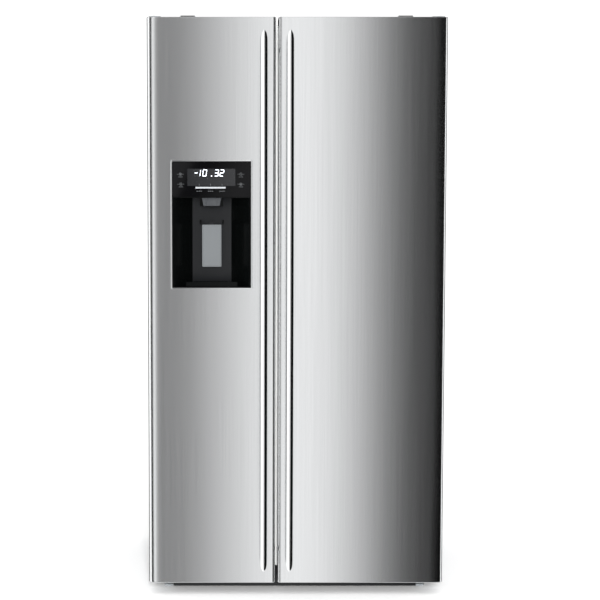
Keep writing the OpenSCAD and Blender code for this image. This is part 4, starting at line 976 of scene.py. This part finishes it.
# Millimetres right of the middle and below the top, and how many spokes the icon's mark has
for right, drop, spokes in ((-94, 39, 6), (-93, 69, 4), (89, 39, 3), (89, 69, 8)):
    cx, cz = middle_x + right * mm, top_z - drop * mm
    outer, inner = (circle(cx, cz, radius * mm, ring_sides) for radius in (4.6, 3.9))
    for k in range(ring_sides):
        n = (k + 1) % ring_sides
        prints.append([inner[k], outer[k], outer[n], inner[n]])
    for k in range(spokes):
        prints.append(spoke(cx, cz, 90 + k * 360 / spokes, 0.6 * mm, 3 * mm, line_t))
    for dash in (-8.2, 8.2):
        prints.append(oblong(cx + dash * mm, cz, 4 * mm, line_t))
    prints.append(oblong(cx, cz - 8 * mm, 13 * mm, mm))
for right in (-37, -3, 32):
    prints.append(oblong(middle_x + right * mm, top_z - 71 * mm, mm, 6 * mm))
    for step in (-6, 0, 6):
        cx = middle_x + (right + step) * mm
        prints.append(oblong(cx, top_z - 90 * mm, 4.4 * mm, 1.6 * mm))
printed = moulded("grey screen print", "505254", 0.4, 0.002, 0.000002)
print_mesh = bars("printed_icons", prints, face_y - printed_t, face_y)
piece("printed_icons", print_mesh, "freezer_door", printed)
choice = oblong(middle_x - 3 * mm, top_z - 79.5 * mm, 91 * mm, 5 * mm)
strip_mesh = bars("lit_choice_bar", [choice], face_y - lit_t, face_y)
soft_white = moulded("lit bar diffuser", "96999c", 0.4, 0.002, 0.000002)
piece("lit_choice_bar", strip_mesh, "freezer_door", soft_white)
print("printed shapes:", len(prints))

# %% [markdown]
# The recess itself comes from the CAD model. The back panel is a separate satin insert with
# rounded lower corners. The nozzle is a short tapered shroud in front of the ice duct, and the pad
# is a soft-edged paddle with a raised rim, which keeps a wet glass from slipping off.

# %% Back panel, nozzle and pad
recess_wall = 2.5 * mm
recess_top = panel_low.z
back_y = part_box("dispenser_recess")[1].y - recess_wall
insert_half, insert_t = 60 * mm, 1.6 * mm
insert_low, insert_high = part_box("drip_tray")[0].z, recess_top - 0.5 * mm
insert_loop = round_loop(
    middle_x - insert_half, middle_x + insert_half, insert_low, insert_high, 5 * mm
)
insert = plate("recess_back_panel", insert_loop, back_y - insert_t, back_y, 0.6 * mm)
satin_grey = moulded("satin charcoal plastic", "131416", 0.38, 0.0008, 0.00001, 0.3)
piece("recess_back_panel", insert, "freezer_door", satin_grey)


def tapered(name, top_half, low_half, z1, z0, y0, y1, edge):
    """A block that narrows downwards, with softened edges."""
    points = []
    for y in (y0, y1):
        points += [
            (middle_x - top_half, y, z1), (middle_x + top_half, y, z1),
            (middle_x + low_half, y, z0), (middle_x - low_half, y, z0),
        ]
    faces = [(0, 1, 2, 3), (7, 6, 5, 4), (0, 4, 5, 1), (1, 5, 6, 2), (2, 6, 7, 3), (3, 7, 4, 0)]
    return softened(mesh_from(name, points, faces), edge, "NONE")


duct_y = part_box("dispenser_chute")[0].y
nozzle_end = recess_top - 27 * mm
nozzle_y0, nozzle_y1 = duct_y - 6 * mm, duct_y - 0.5 * mm
shroud_parts = [
    tapered("nozzle", 30 * mm, 25 * mm, recess_top, nozzle_end, nozzle_y0, nozzle_y1, 2 * mm)
]
rib_place, rib_end = 17 * mm, nozzle_end + 2 * mm
rib_y0, rib_y1 = nozzle_y0 - 1.5 * mm, nozzle_y0 + mm
for side in (-1, 1):
    rib = tapered("rib", 1.2 * mm, mm, recess_top, rib_end, rib_y0, rib_y1, 0.4 * mm)
    for vertex in rib.vertices:
        vertex.co.x += side * rib_place
    shroud_parts.append(rib)
nozzle_mesh = joined("dispenser_nozzle", shroud_parts, 50)
nozzle_grey = moulded("grey nozzle plastic", "35373a", 0.3, 0.0008, 0.00001)
piece("dispenser_nozzle", nozzle_mesh, "freezer_door", nozzle_grey)

pad_low, pad_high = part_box("dispenser_paddle")
pad_left, pad_right = middle_x - 29.5 * mm, middle_x + 29.5 * mm
pivot_z = pad_high.z - 3 * mm
pad_top = pivot_z - 8 * mm
pad_rim_w = pad_rim_t = 3 * mm
body = soft_box(
    "pad",
    (pad_left, pad_low.y + mm, pad_low.z),
    (pad_right, pad_high.y, pad_top),
    1.6 * mm,
)
rim_outside = round_loop(pad_left, pad_right, pad_low.z, pad_top, 3 * mm)
rim_inside = round_loop(
    pad_left + pad_rim_w, pad_right - pad_rim_w, pad_low.z + pad_rim_w, pad_top - pad_rim_w, 2 * mm
)
pad_rim = ring_plate("rim", rim_outside, rim_inside, pad_low.y, pad_low.y + pad_rim_t, 0.9 * mm)
stem_half = 7 * mm
stem = soft_box(
    "stem",
    (middle_x - stem_half, pad_low.y + 2 * mm, pad_top - 2 * mm),
    (middle_x + stem_half, pad_high.y - mm, pivot_z),
    mm,
)
pad_grey = moulded("light grey pad plastic", "5b5e60", 0.42, 0.0009, 0.00002)
pad_mesh = joined("glass_pad", [body, pad_rim], 50)
piece("glass_pad", pad_mesh, "paddle", pad_grey, ["dispenser_paddle"])
piece("glass_pad_stem", stem, "paddle", satin_grey)
print("pad is", round((pad_top - pad_low.z) / mm), "mm tall")

# %% [markdown]
# ## Studio
# A pale floor and a pale world light the object softly from all sides. Polished and brushed steel
# only look like steel when there is something to reflect, so a ring of light cards and black flags
# stands round the object. The ring shows in reflections alone: it casts no light on paint or
# plastic, and no camera sees it.

# %% Floor, world, cards and camera
def sheet_of_light(name, mesh, shade):
    """A card that gives off light, and shade is the function that says how bright it is where."""
    glowing = bpy.data.materials.new(name)
    glowing.use_nodes = True
    tree = glowing.node_tree
    tree.nodes.clear()
    source = add(tree, "ShaderNodeEmission", Strength=1.0)
    tree.links.new(shade(tree), source.inputs["Color"])
    add(tree, "ShaderNodeOutputMaterial", Surface=source.outputs[0])
    mesh.materials.append(glowing)
    made = bpy.data.objects.new(name, mesh)
    bpy.context.scene.collection.objects.link(made)
    made.visible_camera = False
    made.visible_diffuse = False
    made.visible_shadow = False
    made.visible_transmission = False
    return made


# Degrees round from straight ahead, left is negative, and the brightness of the card there
cards = [
    (-180, 0.02), (-100, 0.02), (-93, 1.7), (-47, 1.7), (-44, 0.04), (-29, 0.04), (-26, 1.6),
    (-20, 1.45), (-18, 0.18), (-15, 0.17), (-12, 0.26), (-9, 0.63), (-6, 0.97), (-3, 1.23),
    (1, 1.49), (4, 1.45), (7, 1.22), (10, 0.82), (12, 0.44), (14, 0.17), (16, 0.05), (18, 0.01),
    (22, 0.01), (57, 0.01), (60, 1.6), (88, 1.6), (92, 0.02), (180, 0.02),
]


def ring_shade(tree):
    """The brightness of the ring at each direction round the object."""
    spot = add(tree, "ShaderNodeSeparateXYZ", Vector=place(tree))
    ahead = times(tree, spot.outputs[1], -1.0)
    angle = calc(tree, "ARCTAN2", spot.outputs[0], ahead)
    share = calc(tree, "ADD", calc(tree, "DIVIDE", angle, 2 * math.pi), 0.5)
    # A float curve holds values up to 1, so the levels go in as shares of the brightest
    brightest = 2.0
    ramp = add(tree, "ShaderNodeFloatCurve", Value=between(tree, share, 0.0, 1.0))
    curve = ramp.mapping.curves[0]
    points = [((degrees + 180) / 360, level / brightest) for degrees, level in cards]
    curve.points[0].location, curve.points[1].location = points[0], points[-1]
    for point in points[1:-1]:
        curve.points.new(*point)
    for point in curve.points:
        point.handle_type = "VECTOR"
    ramp.mapping.update()
    return times(tree, ramp.outputs[0], brightest)


ring_radius, ring_low, ring_high, panels = 2.0, -2.5, 4.5, 180
turns = [2 * math.pi * k / panels for k in range(panels)]
circle_points = [(ring_radius * math.sin(a), ring_radius * math.cos(a)) for a in turns]
points = [(x, y, z) for z in (ring_low, ring_high) for x, y in circle_points]
faces = [(k, (k + 1) % panels, panels + (k + 1) % panels, panels + k) for k in range(panels)]
sheet_of_light("ring of light cards", mesh_from("ring of light cards", points, faces), ring_shade)

far = 30
floor_corners = [(-far, -far, 0), (far, -far, 0), (far, far, 0), (-far, far, 0)]
floor_mesh = mesh_from("pale floor", floor_corners, [(0, 1, 2, 3)])
floor = bpy.data.objects.new("pale floor", floor_mesh)
bpy.context.scene.collection.objects.link(floor)
floor_mesh.materials.append(moulded("pale floor paint", "fbfbfb", 0.8, 0.05, 0.00001, 0.1))
floor.visible_glossy = False

world = bpy.data.worlds.new("soft studio")
world.use_nodes = True
background = world.node_tree.nodes["Background"]
background.inputs["Color"].default_value = (1, 1, 1, 1)
background.inputs["Strength"].default_value = 1.15
bpy.context.scene.world = world

key = bpy.data.objects.new("key light", bpy.data.lights.new("key light", "AREA"))
key.data.shape = "RECTANGLE"
key.data.size, key.data.size_y = 0.3, 1.6
key.data.energy = 230
key.location = (-0.06, -4.6, 1.3)
key.rotation_euler = (math.radians(86), 0, 0)
key.visible_glossy = False
bpy.context.scene.collection.objects.link(key)

# The camera stands a little to the left and looks slightly down, and its shift centres the view
camera_tilt = 4.1
camera = bpy.data.objects.new("camera", bpy.data.cameras.new("camera"))
camera.data.lens = 79
camera.data.shift_x = 0.104
camera.location = (-0.18, -4.344, 1.2)
camera.rotation_euler = (math.radians(90 - camera_tilt), 0, 0)
bpy.context.scene.collection.objects.link(camera)
bpy.context.scene.camera = camera
bpy.context.scene.view_settings.view_transform = "Standard"
